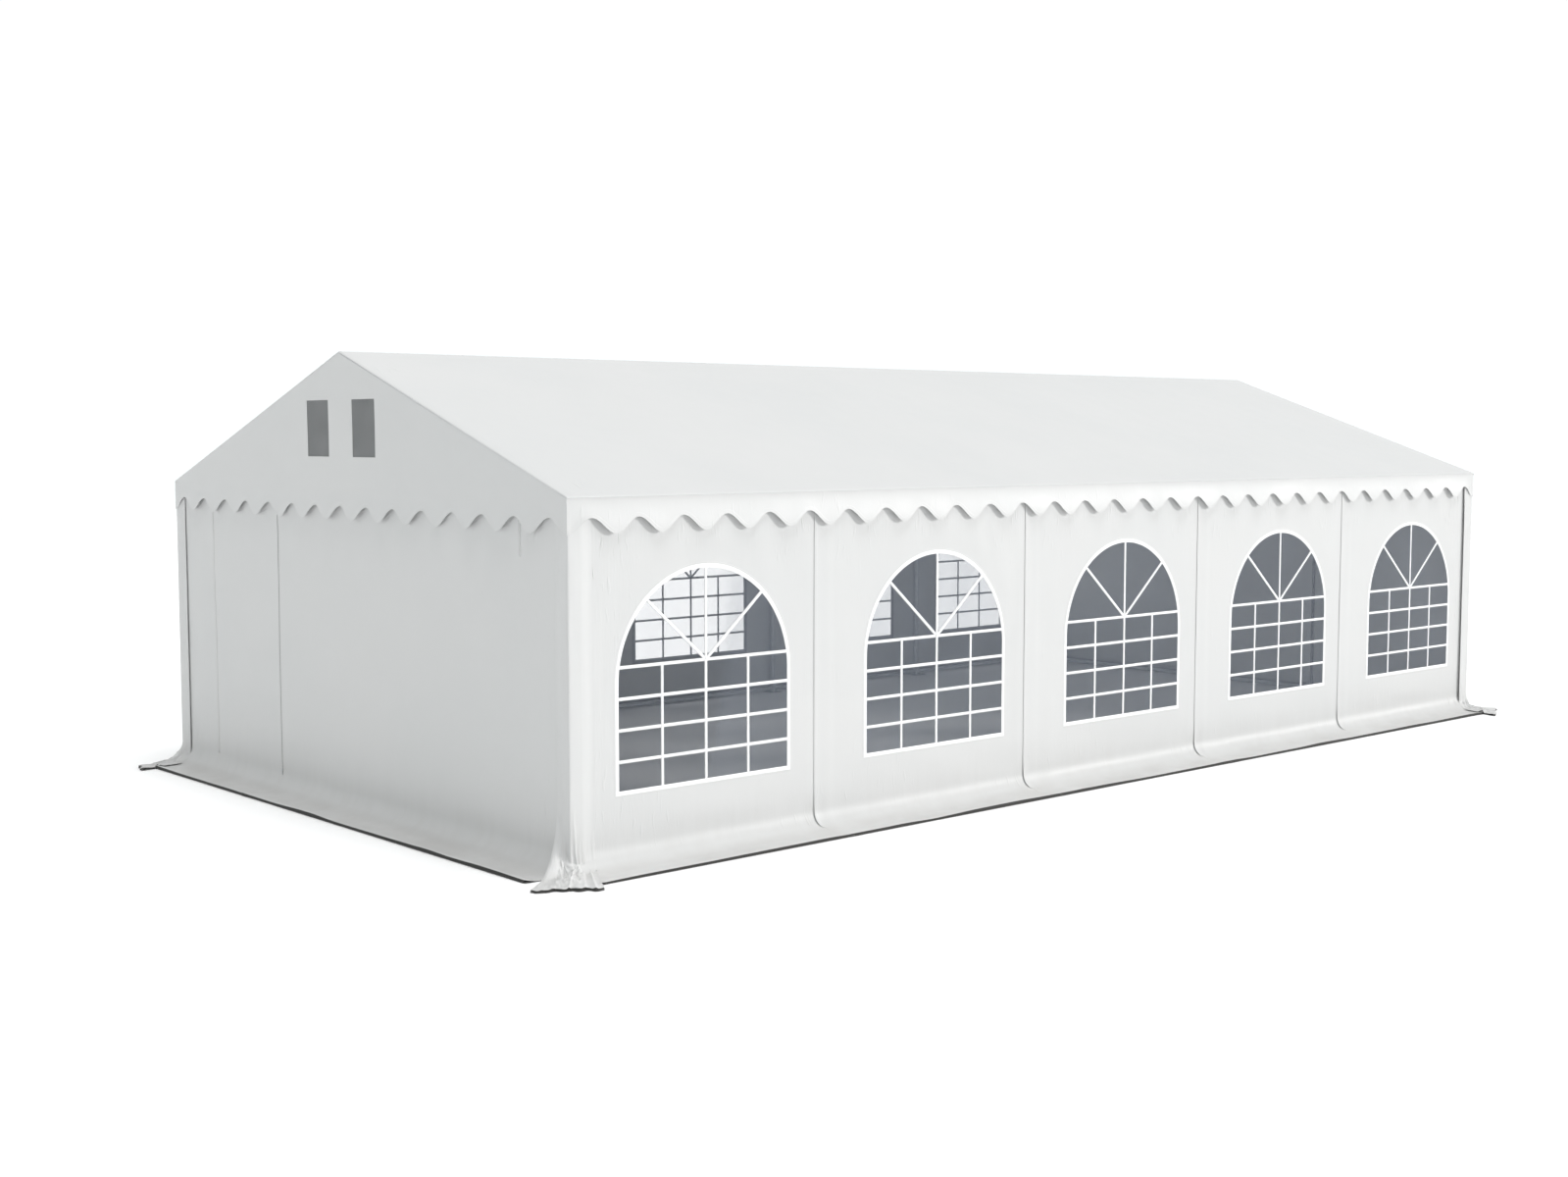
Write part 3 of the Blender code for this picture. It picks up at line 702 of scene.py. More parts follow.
def closeTree(board, shape, finish):
    # Every tree ends in real faces with their material
    real = board.add("GeometryNodeRealizeInstances", {0: shape})
    shown = board.add("GeometryNodeSetMaterial", {"Geometry": real, "Material": finish})
    board.add("NodeGroupOutput", {0: shown})
    return board.tree


def bake(tree, start, name, **settings):
    # Runs a geometry tree on a start mesh and returns the result as a plain mesh
    item = bpy.data.objects.new(name, start)
    bpy.context.scene.collection.objects.link(item)
    modifier = item.modifiers.new(tree.name, "NODES")
    modifier.node_group = tree
    for socket in tree.interface.items_tree:
        if socket.in_out == "INPUT" and socket.name in settings:
            modifier[socket.identifier] = settings[socket.name]
    item.update_tag()
    bpy.context.view_layer.update()
    graph = bpy.context.evaluated_depsgraph_get()
    made = bpy.data.meshes.new_from_object(item.evaluated_get(graph))
    bpy.data.objects.remove(item)
    made.name = name
    return made


def readMesh(mesh):
    flat = np.zeros(len(mesh.vertices) * 3, np.float32)
    mesh.vertices.foreach_get("co", flat)
    return flat.reshape(-1, 3).astype(float), [list(p.vertices) for p in mesh.polygons]


def rowCloth(tree, lines, out, **settings):
    # What a tree makes along flat lines, each a list of points, moved out of the cloth's plane
    verts, edges = [], []
    for line in lines:
        edges += [(len(verts) + k, len(verts) + k + 1) for k in range(len(line) - 1)]
        verts += [(x, y, 0.0) for x, y in line]
    start = bpy.data.meshes.new("lines")
    start.from_pydata(verts, edges, [])
    flat, faces = readMesh(bake(tree, start, tree.name, **settings))
    flat[:, 2] += out
    return flat, faces


def stripTree():
    # Flat strips along lines that lie in the cloth's plane
    board, given = newTree("strips", ("Width", "Thickness", "Spacing"))
    curve = board.add("GeometryNodeMeshToCurve", {"Mesh": given("Geometry")})
    even = board.add("GeometryNodeResampleCurve", {"Curve": curve, "Length": given("Spacing")}, mode="LENGTH")
    upright = board.add("GeometryNodeSetCurveNormal", {"Curve": even}, mode="Z_UP")
    profile = board.add("GeometryNodeCurvePrimitiveQuadrilateral",
                        {"Width": given("Width"), "Height": given("Thickness")}, mode="RECTANGLE")
    swept = board.add("GeometryNodeCurveToMesh",
                      {"Curve": upright, "Profile Curve": profile, "Fill Caps": True})
    return closeTree(board, swept, given("Finish"))


def pointsAlong(board, given):
    # Points one pitch apart along the start mesh's lines
    curve = board.add("GeometryNodeMeshToCurve", {"Mesh": given("Geometry")})
    return board.add("GeometryNodeCurveToPoints", {"Curve": curve, "Length": given("Pitch")}, mode="LENGTH")


def stitchTree():
    # One short thread after another along a line
    board, given = newTree("stitches", ("Pitch", "Length", "Radius"))
    spots = pointsAlong(board, given)
    turn = board.add("FunctionNodeAlignRotationToVector", {"Vector": spots.out("Tangent")}, axis="Z")
    stitch = board.add("GeometryNodeMeshIcoSphere", {"Radius": 1.0, "Subdivisions": 1})
    size = board.vector(X=given("Radius"), Y=given("Radius"), Z=given("Length") * 0.5)
    placed = board.add("GeometryNodeInstanceOnPoints",
                       {"Points": spots, "Instance": stitch, "Rotation": turn, "Scale": size})
    return closeTree(board, placed, given("Finish"))


strips = stripTree()
stitches = stitchTree()
barSpacing = 0.03
filmDepth = tent["cloth"] + 0.0003


def stripCloth(lines, out, size, spacing, finish):
    # Strips of one width and thickness along flat lines
    return rowCloth(strips, lines, out, Width=size[0], Thickness=size[1], Spacing=spacing, Finish=finish)


def upLine(across, ends):
    return [(across, height) for height in ends]


def slantEnd(side):
    # The slanting bar runs from the middle of the transom to the round top
    dx, dy = windowLook["slant"]
    rise = windowLook["transom"] - springing
    a, b, c = dx * dx + dy * dy, 2 * rise * dy, rise * rise - windowLook["half"] ** 2
    share = (-b + math.sqrt(b * b - 4 * a * c)) / (2 * a)
    return side * dx * share, windowLook["transom"] + dy * share


def frameRing(low):
    # The flat strip round the opening: outer edge, slightly rounded face, inner edge down to the film
    half, rise = windowLook["frameWidth"] / 2, windowLook["frameRise"]
    inner = half - windowLook["frameRound"]
    rings = ((half, 0.0002), (inner, rise), (-inner, rise), (-half, 0.0006), (-half, low))
    foot, side, top = windowLook["frameSteps"]
    counts = [foot, side] + [1] * top + [side]
    verts = []
    for grow, out in rings:
        corners = windowOutline(grow, top)
        for (x0, y0), (x1, y1), count in zip(corners, corners[1:] + corners[:1], counts):
            verts += [(x0 + (x1 - x0) * k / count, y0 + (y1 - y0) * k / count, out) for k in range(count)]
    count = sum(counts)
    faces = [[a + k, a + (k + 1) % count, a + count + (k + 1) % count, a + count + k]
             for a in range(0, count * (len(rings) - 1), count) for k in range(count)]
    return np.array(verts), faces


def windowStrips():
    # All the bars of one window and the strip round it, flat
    half, transom = windowLook["half"], windowLook["transom"]
    level = [[(-half, row), (half, row)] for row in windowLook["rows"] + (transom,)]
    upright = [upLine(column, (windowLook["bottom"], transom)) for column in windowLook["columns"]]
    upright.append(upLine(0.0, (transom, windowLook["top"])))
    slanting = [[(0.0, transom), slantEnd(side)] for side in (-1, 1)]
    bars = [stripCloth(lines, (top - filmDepth) / 2, (windowLook["barWidth"], top + filmDepth), barSpacing,
                       stripWhite)
            for lines, top in ((level, 0.0006), (upright, 0.0008), (slanting, 0.0007))]
    return joinCloth(bars + [frameRing(-filmDepth)])


filmFlat, filmFaces = cutCloth(windowOutline(windowLook["margin"], 32), [], windowLook["filmPitch"])
windowBars = windowStrips()
for side, bay, centre in sideBays:
    placeAt = wallPlace(side, centre)
    film = hang(f"{side}Film{bay + 1}", (filmFlat - np.array([0.0, 0.0, filmDepth]), filmFaces), placeAt,
                sidePlaces[side], clearFilm, "clear_film", [f"{side}_window_{bay + 1}"], tent["film"])
    bars = hang(f"{side}WindowStrips{bay + 1}", windowBars, placeAt, sidePlaces[side], stripWhite,
                "white_sheeting")
    flatSize(filmFlat)
print("windows:", len(windowBars[1]), "faces of strips each")


# End walls: a wide and a narrow sheet that meet at a zip
endLook = {
    "pitch": 0.034,
    "zip": -0.942,
    "zipGap": 0.0036,
    "zipFoot": 0.115,  # below this height the wide sheet laps over the narrow one
    "lap": 0.022,
    "edge": 2.5477,
    "seams": ((-1.956, (0.14, 2.13)), (2.070, (1.80, 2.13))),  # where, and from what height to what height
    "seamSize": (0.022, 0.0009),
    "seamSpacing": 0.026,
}
zipLook = {
    "tapeEnds": (0.070, 2.136),
    "tapeSize": (0.034, 0.0008),
    "tapeBehind": 0.0007,  # behind the cloth's inner face
    "teethEnds": (0.118, 2.130),
    "teethOut": 0.0006,  # from the cloth's inner face
    "toothPitch": 0.0030,
    "toothSize": (0.0052, 0.0017, 0.0022),
    "slider": 0.150,
    "beside": 0.0012,  # both sheets stand up this much beside the zip
    "over": 0.0018,  # the wide sheet's step over the narrow one
}


def endSheet(kind):
    top, edge, zipFoot = tent["wallTop"], endLook["edge"], endLook["zipFoot"]
    if kind == "wide":
        start = endLook["zip"] + endLook["zipGap"]
        lap = start - endLook["lap"] - 2 * endLook["zipGap"]
        points = cutCorner(edge, -1, 0)
        outline = [(lap, wallFoot)] + points + [(edge, top), (start, top), (start, zipFoot),
                                                (lap, zipFoot - 0.03), (lap, turnLine)]
        crease = [outline[-1], points[1]]
    else:
        end = endLook["zip"] - endLook["zipGap"]
        foot, low, corner = cutCorner(-edge, 1, 1)
        outline = [foot, (end, wallFoot), (end, turnLine), (end, top), (-edge, top), corner, low]
        crease = [low, outline[2]]
    return cutCloth(outline, [], endLook["pitch"], [crease])


def besideZip(across, height):
    near = 1 - ease(np.abs(across - endLook["zip"]), 0.004, 0.035)
    return zipLook["beside"] * near * ease(height, 0.10, 0.15)


def overZip(across, height):
    # Below the zip the wide sheet also steps over the narrow one
    over = zipLook["over"] * (1 - ease(height, endLook["zipFoot"] - 0.02, endLook["zipFoot"] + 0.01))
    wide = across > endLook["zip"] - endLook["lap"] - 0.001
    return over * wide * (1 - ease(across - endLook["zip"], 0.02, 0.06)) + besideZip(across, height)


def toothTree():
    # Zip teeth in two rows, one tooth after another along the line
    board, given = newTree("zipTeeth", ("Pitch", "Width", "Depth", "Height"))
    rows = []
    for side in (-1.0, 1.0):
        size = board.vector(X=given("Width"), Y=given("Height"), Z=given("Depth"))
        tooth = board.add("GeometryNodeMeshCube")
        placed = board.add("GeometryNodeInstanceOnPoints",
                           {"Points": pointsAlong(board, given), "Instance": tooth, "Scale": size})
        aside = board.vector(X=given("Width") * (0.36 * side), Y=given("Pitch") * (0.25 * side))
        rows.append(board.add("GeometryNodeTransform", {"Geometry": placed, "Translation": aside}))
    return closeTree(board, board.joined(rows), given("Finish"))


def sliderShape(place):
    # The zip's slider with its pull hanging from it
    cage = bmesh.new()
    for size, centre in (((0.011, 0.016, 0.004), (0, 0, 0.004)), ((0.004, 0.010, 0.003), (0, -0.001, 0.0072)),
                         ((0.008, 0.034, 0.0014), (0, -0.020, 0.0082))):
        made = bmesh.ops.create_cube(cage, size=1.0)
        bmesh.ops.transform(cage, matrix=Matrix.Translation(centre) @ Matrix.Diagonal((*size, 1)),
                            verts=made["verts"])
    pull = [face for face in cage.faces if face.calc_center_median().z > 0.0085]
    bmesh.ops.inset_individual(cage, faces=pull, thickness=0.0018, depth=-0.0004)
    bmesh.ops.bevel(cage, geom=[edge for edge in cage.edges if edge.calc_length() > 0.001], offset=0.0005,
                    segments=2, affect="EDGES")
    mesh = bpy.data.meshes.new("slider")
    cage.to_mesh(mesh)
    cage.free()
    flat, faces = readMesh(mesh)
    return flat + np.array(place), faces


tape = stripCloth([upLine(endLook["zip"], zipLook["tapeEnds"])], -tent["cloth"] - zipLook["tapeBehind"],
                  zipLook["tapeSize"], barSpacing, zipGrey)
teeth = rowCloth(toothTree(), [upLine(endLook["zip"], zipLook["teethEnds"])],
                 zipLook["teethOut"] - tent["cloth"], Finish=zipGrey, Pitch=zipLook["toothPitch"],
                 **dict(zip(("Width", "Height", "Depth"), zipLook["toothSize"])))
seams = stripCloth([upLine(*seam) for seam in endLook["seams"]], 0.0002, endLook["seamSize"],
                   endLook["seamSpacing"], clothFinish)
slider = sliderShape((endLook["zip"], zipLook["slider"], -0.0010))
zipParts = [("ZipTape", tape, zipGrey, "vent_mesh"), ("ZipTeeth", teeth, zipGrey, "vent_mesh"),
            ("ZipSlider", slider, zincTube, "zinc_steel"), ("EndSeams", seams, clothFinish, "white_sheeting")]
endSheets = {kind: endSheet(kind) for kind in ("wide", "narrow")}
for side, support in (("left", "portal_frame_1"), ("right", "portal_frame_6")):
    for kind, rises in (("wide", overZip), ("narrow", besideZip)):
        hangWall(f"{side}End{kind.title()}", side, endSheets[kind], f"{side}_end_wall_{kind}", support,
                 0.0, rises)
    for label, cloth, finish, slot in zipParts:
        hang(side + label, cloth, wallPlace(side), sidePlaces[side], finish, slot)
print("end walls:", [len(faces) for flat, faces in endSheets.values()], "faces, zip teeth", len(teeth[1]))


# Roof cover: two slopes, folded over the eaves and over the gable edges
roofLook = {
    "pitch": 0.075,
    "foldRadius": 0.009,
    "ridgeRound": 0.006,
    "sag": 0.0055,
    "ripple": 0.0008,
    "rakeTurn": math.pi / 2,
    "eaveTurn": math.pi / 2 - roofAngle,
}
slopeLength = math.hypot(coverHalfWidth, tent["ridge"] - tent["eave"])


def foldStart(end, turn):
    return end - roofLook["foldRadius"] * math.tan(turn / 2)


def foldAt(distance, end, turn):
    # Past the start of a fold: how far along the flat direction, and how far down from it
    radius, start = roofLook["foldRadius"], foldStart(end, turn)
    past = np.clip(distance - start, 0.0, None)
    angle = np.clip(past / radius, 0.0, turn)
    straight = np.clip(past - radius * turn, 0.0, None)
    along = np.minimum(distance, start) + radius * np.sin(angle) + straight * math.cos(turn)
    return along, radius * (1 - np.cos(angle)) + straight * math.sin(turn)


def roofStations(end, turn, extra=()):
    # Places along one direction of the flat roof sheet, close together in the folds
    start = foldStart(end, turn)
    arc = start + roofLook["foldRadius"] * turn * np.arange(1, 6) / 5
    half = np.concatenate([np.linspace(0.0, start, round(start / roofLook["pitch"]) + 1), arc])
    half = np.unique(np.concatenate([half, np.array(extra)]))
    return np.concatenate([-half[::-1], half[1:]])


def roofPlace(flat):
    p, q = flat[:, 0], flat[:, 1]
    along, rakeDrop = foldAt(np.abs(p), coverHalfLength, roofLook["rakeTurn"])
    slope, eaveDrop = foldAt(np.abs(q), slopeLength, roofLook["eaveTurn"])
    cosine, sine = math.cos(roofAngle), math.sin(roofAngle)
    x = np.sign(p) * along
    rounded = np.sqrt(slope ** 2 + roofLook["ridgeRound"] ** 2)
    # the cloth sinks a little between the frames, and not at the tubes
    frameGap = np.abs(x[:, None] - longPosts[None, :]).min(1)
    loose = ease(frameGap, 0.04, 0.9) * ease(slope, 0.08, 0.7)
    loose = loose * (1 - ease(slope, slopeLength - 0.7, slopeLength - 0.06))
    down = roofLook["sag"] * loose * (0.75 + 0.35 * swell(x / 0.9, q / 0.8, 3))
    ripple = roofLook["ripple"] * ease(slope, 0.05, 0.3)
    ripple = ripple * (1 - ease(slope, slopeLength - 0.3, slopeLength - 0.02))
    down = down - ripple * (swell(x / 0.16, q / 1.1, 9) - 1.0)
    y = np.sign(q) * (slope * cosine + eaveDrop * sine - down * sine)
    return np.stack([x, y, tent["ridge"] - rounded * sine - eaveDrop * cosine - rakeDrop - down * cosine], 1)


roofAcross = roofStations(coverHalfLength, roofLook["rakeTurn"])
roofAlong = roofStations(slopeLength, roofLook["eaveTurn"], (0.004, 0.008, 0.014))
flat, faces = gridCloth(roofAcross, roofAlong)
edgeGap = np.minimum(roofAcross[-1] - np.abs(flat[:, 0]), roofAlong[-1] - np.abs(flat[:, 1]))
hangCloth("roofSheet", (flat, faces), roofPlace, Matrix.Identity(4), "roof_cover", "stretched",
          ["ridge_purlin", "front_eave_purlin", "rear_eave_purlin"], shaped=False,
          creased=0.10 + 0.3 * (1 - ease(edgeGap, 0.05, 0.5)), hem=edgeGap + 0.05)
print("roof sheet:", len(faces), "faces")


# Valances: their scalloped edge follows a wave
valanceLook = {
    "top": float(roofPlace(np.array([[0.0, roofAlong[-1], 0.0]]))[0, 2]),  # where the roof's fold ends
    "high": 2.037,
    "low": 1.943,
    "scallops": 30,
    "perScallop": 20,
    "rows": 12,
    "creased": 0.15,
    "flutter": 0.0052,
    "flare": 0.0145,  # the free edge hangs this much further out than the top
}
edgeMiddle = (valanceLook["high"] + valanceLook["low"]) / 2
edgeSwing = (valanceLook["high"] - valanceLook["low"]) / 2


def valanceTree():
    # A grid whose lower edge is drawn into a row of scallops
    board, given = newTree("scallops", ("Span", "Scallops", "Columns", "Rows", "Top", "Middle", "Swing"))
    grid = board.add("GeometryNodeMeshGrid", {"Size X": given("Span"), "Size Y": 1.0,
                                              "Vertices X": given("Columns"), "Vertices Y": given("Rows")})
    across = board.split(board.add("GeometryNodeInputPosition"), "X")
    turn = (across / given("Span") + 0.5) * given("Scallops") * (2 * math.pi)
    edge = given("Middle") - given("Swing") * turn.maths("COSINE", turn)
    height = edge + (given("Top") - edge) * (across.out("Y") + 0.5)
    target = board.vector(X=across, Y=height)
    moved = board.add("GeometryNodeSetPosition", {"Geometry": grid, "Position": target})
    return closeTree(board, moved, given("Finish"))


def scallopLine(half, count, steps, raised=0.0, swing=1.0):
    # Points along the scalloped edge, steps of them to each scallop
    return [(half * (2 * k / (count * steps) - 1),
             edgeMiddle + raised - edgeSwing * swing * math.cos(2 * math.pi * k / steps))
            for k in range(count * steps + 1)]


def flutter(look, flat, seed, free, halfSpan):
    # How far the free edge of a valance or a gable hangs out
    across, height = flat[:, 0], flat[:, 1]
    wave = swell(across / 0.42, height / 0.5, seed) + 0.6 * swell(across / 0.17, height / 0.3, seed + 1)
    calm = ease(halfSpan - np.abs(across), 0.0, 0.15)
    return tent["coverProud"] + free * (look["flutter"] * (0.25 + wave) + look["flare"]) * calm


def valancePlace(side):
    def placeAt(flat):
        free = ease(valanceLook["top"] - flat[:, 1], 0.02, 0.20)
        out = flutter(valanceLook, flat, sideSeeds[side] + 50, free, tent["halfLength"])
        return np.stack([flat[:, 0], -out, flat[:, 1]], 1)
    return placeAt


flat, faces = rowCloth(valanceTree(), [[(0, 0), (1, 0)]], 0.0, Span=2 * (coverHalfLength - 0.0002),
                       Scallops=valanceLook["scallops"], Rows=valanceLook["rows"],
                       Columns=valanceLook["scallops"] * valanceLook["perScallop"] + 1,
                       Top=valanceLook["top"], Middle=edgeMiddle, Swing=edgeSwing, Finish=clothFinish)
hem = freeEdgeDistance(flat, faces) + ease(flat[:, 1], 2.07, 2.12) * 0.05
for side in ("front", "rear"):
    hangCloth(f"{side}Valance", (flat, faces), valancePlace(side), sidePlaces[side], f"{side}_valance",
              "hung", ["roofSheet"], hem=hem, creased=np.full(len(flat), valanceLook["creased"]))
print("valances:", len(faces), "faces each")


# Gables run down into the same scallops, with two vents of netting
gableLook = {
    "pitch": 0.024,
    "scallops": 15,
    "perScallop": 20,
    "vents": ((0.1585, 0.450), (-0.450, -0.1585)),
    "ventBottom": 2.3615,
    "ventTop": 2.7365,
    "netMargin": 0.022,
    "netGap": 0.0006,
    "slack": 0.0035,
    "flutter": 0.0088,
    "flare": 0.0165,
}


def gableOutline():
    half, roofGap = coverHalfWidth - 0.0018, roofLook["foldRadius"] + 0.0004
    side = tent["eave"] - roofGap
    return (scallopLine(half, gableLook["scallops"], gableLook["perScallop"])
            + [(half, side), (0.0, tent["ridge"] - roofGap - 0.002), (-half, side)])


def ventOutline(left, right, grow=0.0):
    low, high = gableLook["ventBottom"] - grow, gableLook["ventTop"] + grow
    return [(left - grow, low), (right + grow, low), (right + grow, high), (left - grow, high)]


def gablePlace(side, back=0.0):
    seed = sideSeeds[side] + 50

    def placeAt(flat):
        across, height = flat[:, 0], flat[:, 1]
        free = ease(tent["eave"] - 0.02 - height, 0.0, 0.20)
        roofHeight = tent["ridge"] - np.abs(across) * math.tan(roofAngle)
        slack = ease(roofHeight - height, 0.04, 0.4) * ease(height, tent["eave"] - 0.02, tent["eave"] + 0.25)
        slack = gableLook["slack"] * slack * (0.5 + 0.5 * swell(across / 0.6, height / 0.4, seed + 2))
        out = flutter(gableLook, flat, seed, free, tent["halfWidth"]) - slack - back
        return np.stack([across, -out, height], 1)
    return placeAt


holes = [ventOutline(left, right) for left, right in gableLook["vents"]]
flat, faces = cutCloth(gableOutline(), holes, gableLook["pitch"])
rakeGap = tent["ridge"] - np.abs(flat[:, 0]) * math.tan(roofAngle) - flat[:, 1]
hem = freeEdgeDistance(flat, faces) + 0.05 * (1 - ease(rakeGap, 0.05, 0.08))
netCorners = ventOutline(gableLook["vents"][1][0], gableLook["vents"][0][1], gableLook["netMargin"])
netCloth = gridCloth(np.linspace(netCorners[0][0], netCorners[1][0], 41),
                     np.linspace(netCorners[1][1], netCorners[2][1], 21))
for side in ("left", "right"):
    hangCloth(f"{side}Gable", (flat, faces), gablePlace(side), sidePlaces[side], f"{side}_gable",
              "stretched", ["roofSheet"], hem=hem, creased=np.full(len(flat), valanceLook["creased"]))
    net = hang(f"{side}VentNet", netCloth, gablePlace(side, tent["cloth"] + gableLook["netGap"]),
               sidePlaces[side], ventNet, "vent_mesh", [f"{side}_gable_vent"], tent["net"])
    flatSize(netCloth[0])
print("gables:", len(faces), "faces each")


# Corner covers: a strip round each corner post that spreads into a pleated skirt
cornerLook = {
    "proud": 0.0154,
    "round": 0.008,
    "columns": 112,
    "upperRows": 36,
    "skirtRows": 54,
    "skirtCloth": 0.56,
    "uprightCloth": 1.94,
    "turnDown": 0.020,
    "clear": 0.0035,
    "low": 0.014,  # the skirt lies this far over the ground and the flaps
    "tipLift": 0.007,
    "ripple": 0.0009,
    "ragged": 0.045,  # of the skirt's reach
    "crumple": 0.0022,
    "bunch": (0.0080, 0.0040),  # coarse and fine crumples where the skirt bunches up by the corner
}
# Each corner: its signs, its strip's widths (end, side), the ends of its ground line as (past the end,
# past the side), how high it starts to sweep out (end, side), how far its strip edges stand off the walls,
# its pleats, and which of the flaps' cut corners lies under it
corners = {
    "front_left": {"signs": (-1, -1), "strips": (0.13, 0.165), "tips": ((0.429, 0.210), (0.080, 0.437)),
                   "sweep": (0.37, 0.075), "standOff": (0.0035, 0.0045), "pleatTop": 0.30, "pleats": 8.0,
                   "depth": 0.012, "cut": 0, "seed": 61},
    "rear_left": {"signs": (-1, 1), "strips": (0.13, 0.165), "tips": ((0.455, -0.200), (0.400, -0.050)),
                  "sweep": (0.085, 0.17), "standOff": (0.011, 0.010), "pleatTop": 0.16, "pleats": 3.0,
                  "depth": 0.006, "cut": 1, "seed": 72},
    "front_right": {"signs": (1, -1), "strips": (0.13, 0.125), "tips": ((0.140, 0.262), (-0.285, 0.478)),
                    "sweep": (0.11, 0.09), "standOff": (0.010, 0.019), "pleatTop": 0.16, "pleats": 4.0,
                    "depth": 0.009, "cut": 1, "seed": 83},
    "rear_right": {"signs": (1, 1), "strips": (0.13, 0.160), "tips": ((0.425, 0.215), (0.095, 0.425)),
                   "sweep": (0.34, 0.085), "standOff": (0.0045, 0.006), "pleatTop": 0.28, "pleats": 7.0,
                   "depth": 0.013, "cut": 0, "seed": 94},
}


def stripLength(look):
    return sum(look["strips"]) + 2 * cornerLook["proud"] + cornerLook["round"] * (math.pi / 2 - 2)


def cornerMatrix(look):
    # From (past the end, past the side) at one corner of the tent to the tent's own axes
    x, y = look["signs"]
    post = Matrix.Translation((x * tent["halfLength"], y * tent["halfWidth"], 0))
    return post @ Matrix.Diagonal((x, y, 1, 1))


def cornerSection(travelled, proud, endStrip):
    # The strip in plan: outward past the end and past the side, and its outward direction
    radius = cornerLook["round"]
    inner = cornerLook["proud"] - radius
    straightEnd = endStrip + inner
    arc = radius * math.pi / 2
    angle = np.clip((travelled - straightEnd) / radius, 0.0, math.pi / 2)
    pastEnd = inner + radius * np.cos(angle) - np.clip(travelled - straightEnd - arc, 0.0, None)
    pastSide = inner + radius * np.sin(angle) - np.clip(straightEnd - travelled, 0.0, None)
    shift = proud - cornerLook["proud"]
    onEnd = ease(straightEnd - travelled, -0.001, 0.02)
    onSide = ease(travelled - straightEnd - arc, -0.001, 0.02)
    return (np.stack([pastEnd + shift * onEnd, pastSide + shift * onSide], 1),
            np.stack([np.cos(angle), np.sin(angle)], 1))


def flapUnder(past, beside, cut):
    # The height of a wall's flap this far past its wall, out to the flap's cut corner
    snip, rise = wallFold["snips"][cut]
    edge = wallFold["reach"] + wallFold["turnDown"] - rise * np.clip(1 + beside / snip, 0.0, 1.0)
    there = (1 - ease(beside, -0.035, 0.010)) * (1 - ease(past - edge, -0.010, 0.016))
    return flapTop(past) * there * (past > 0.0)


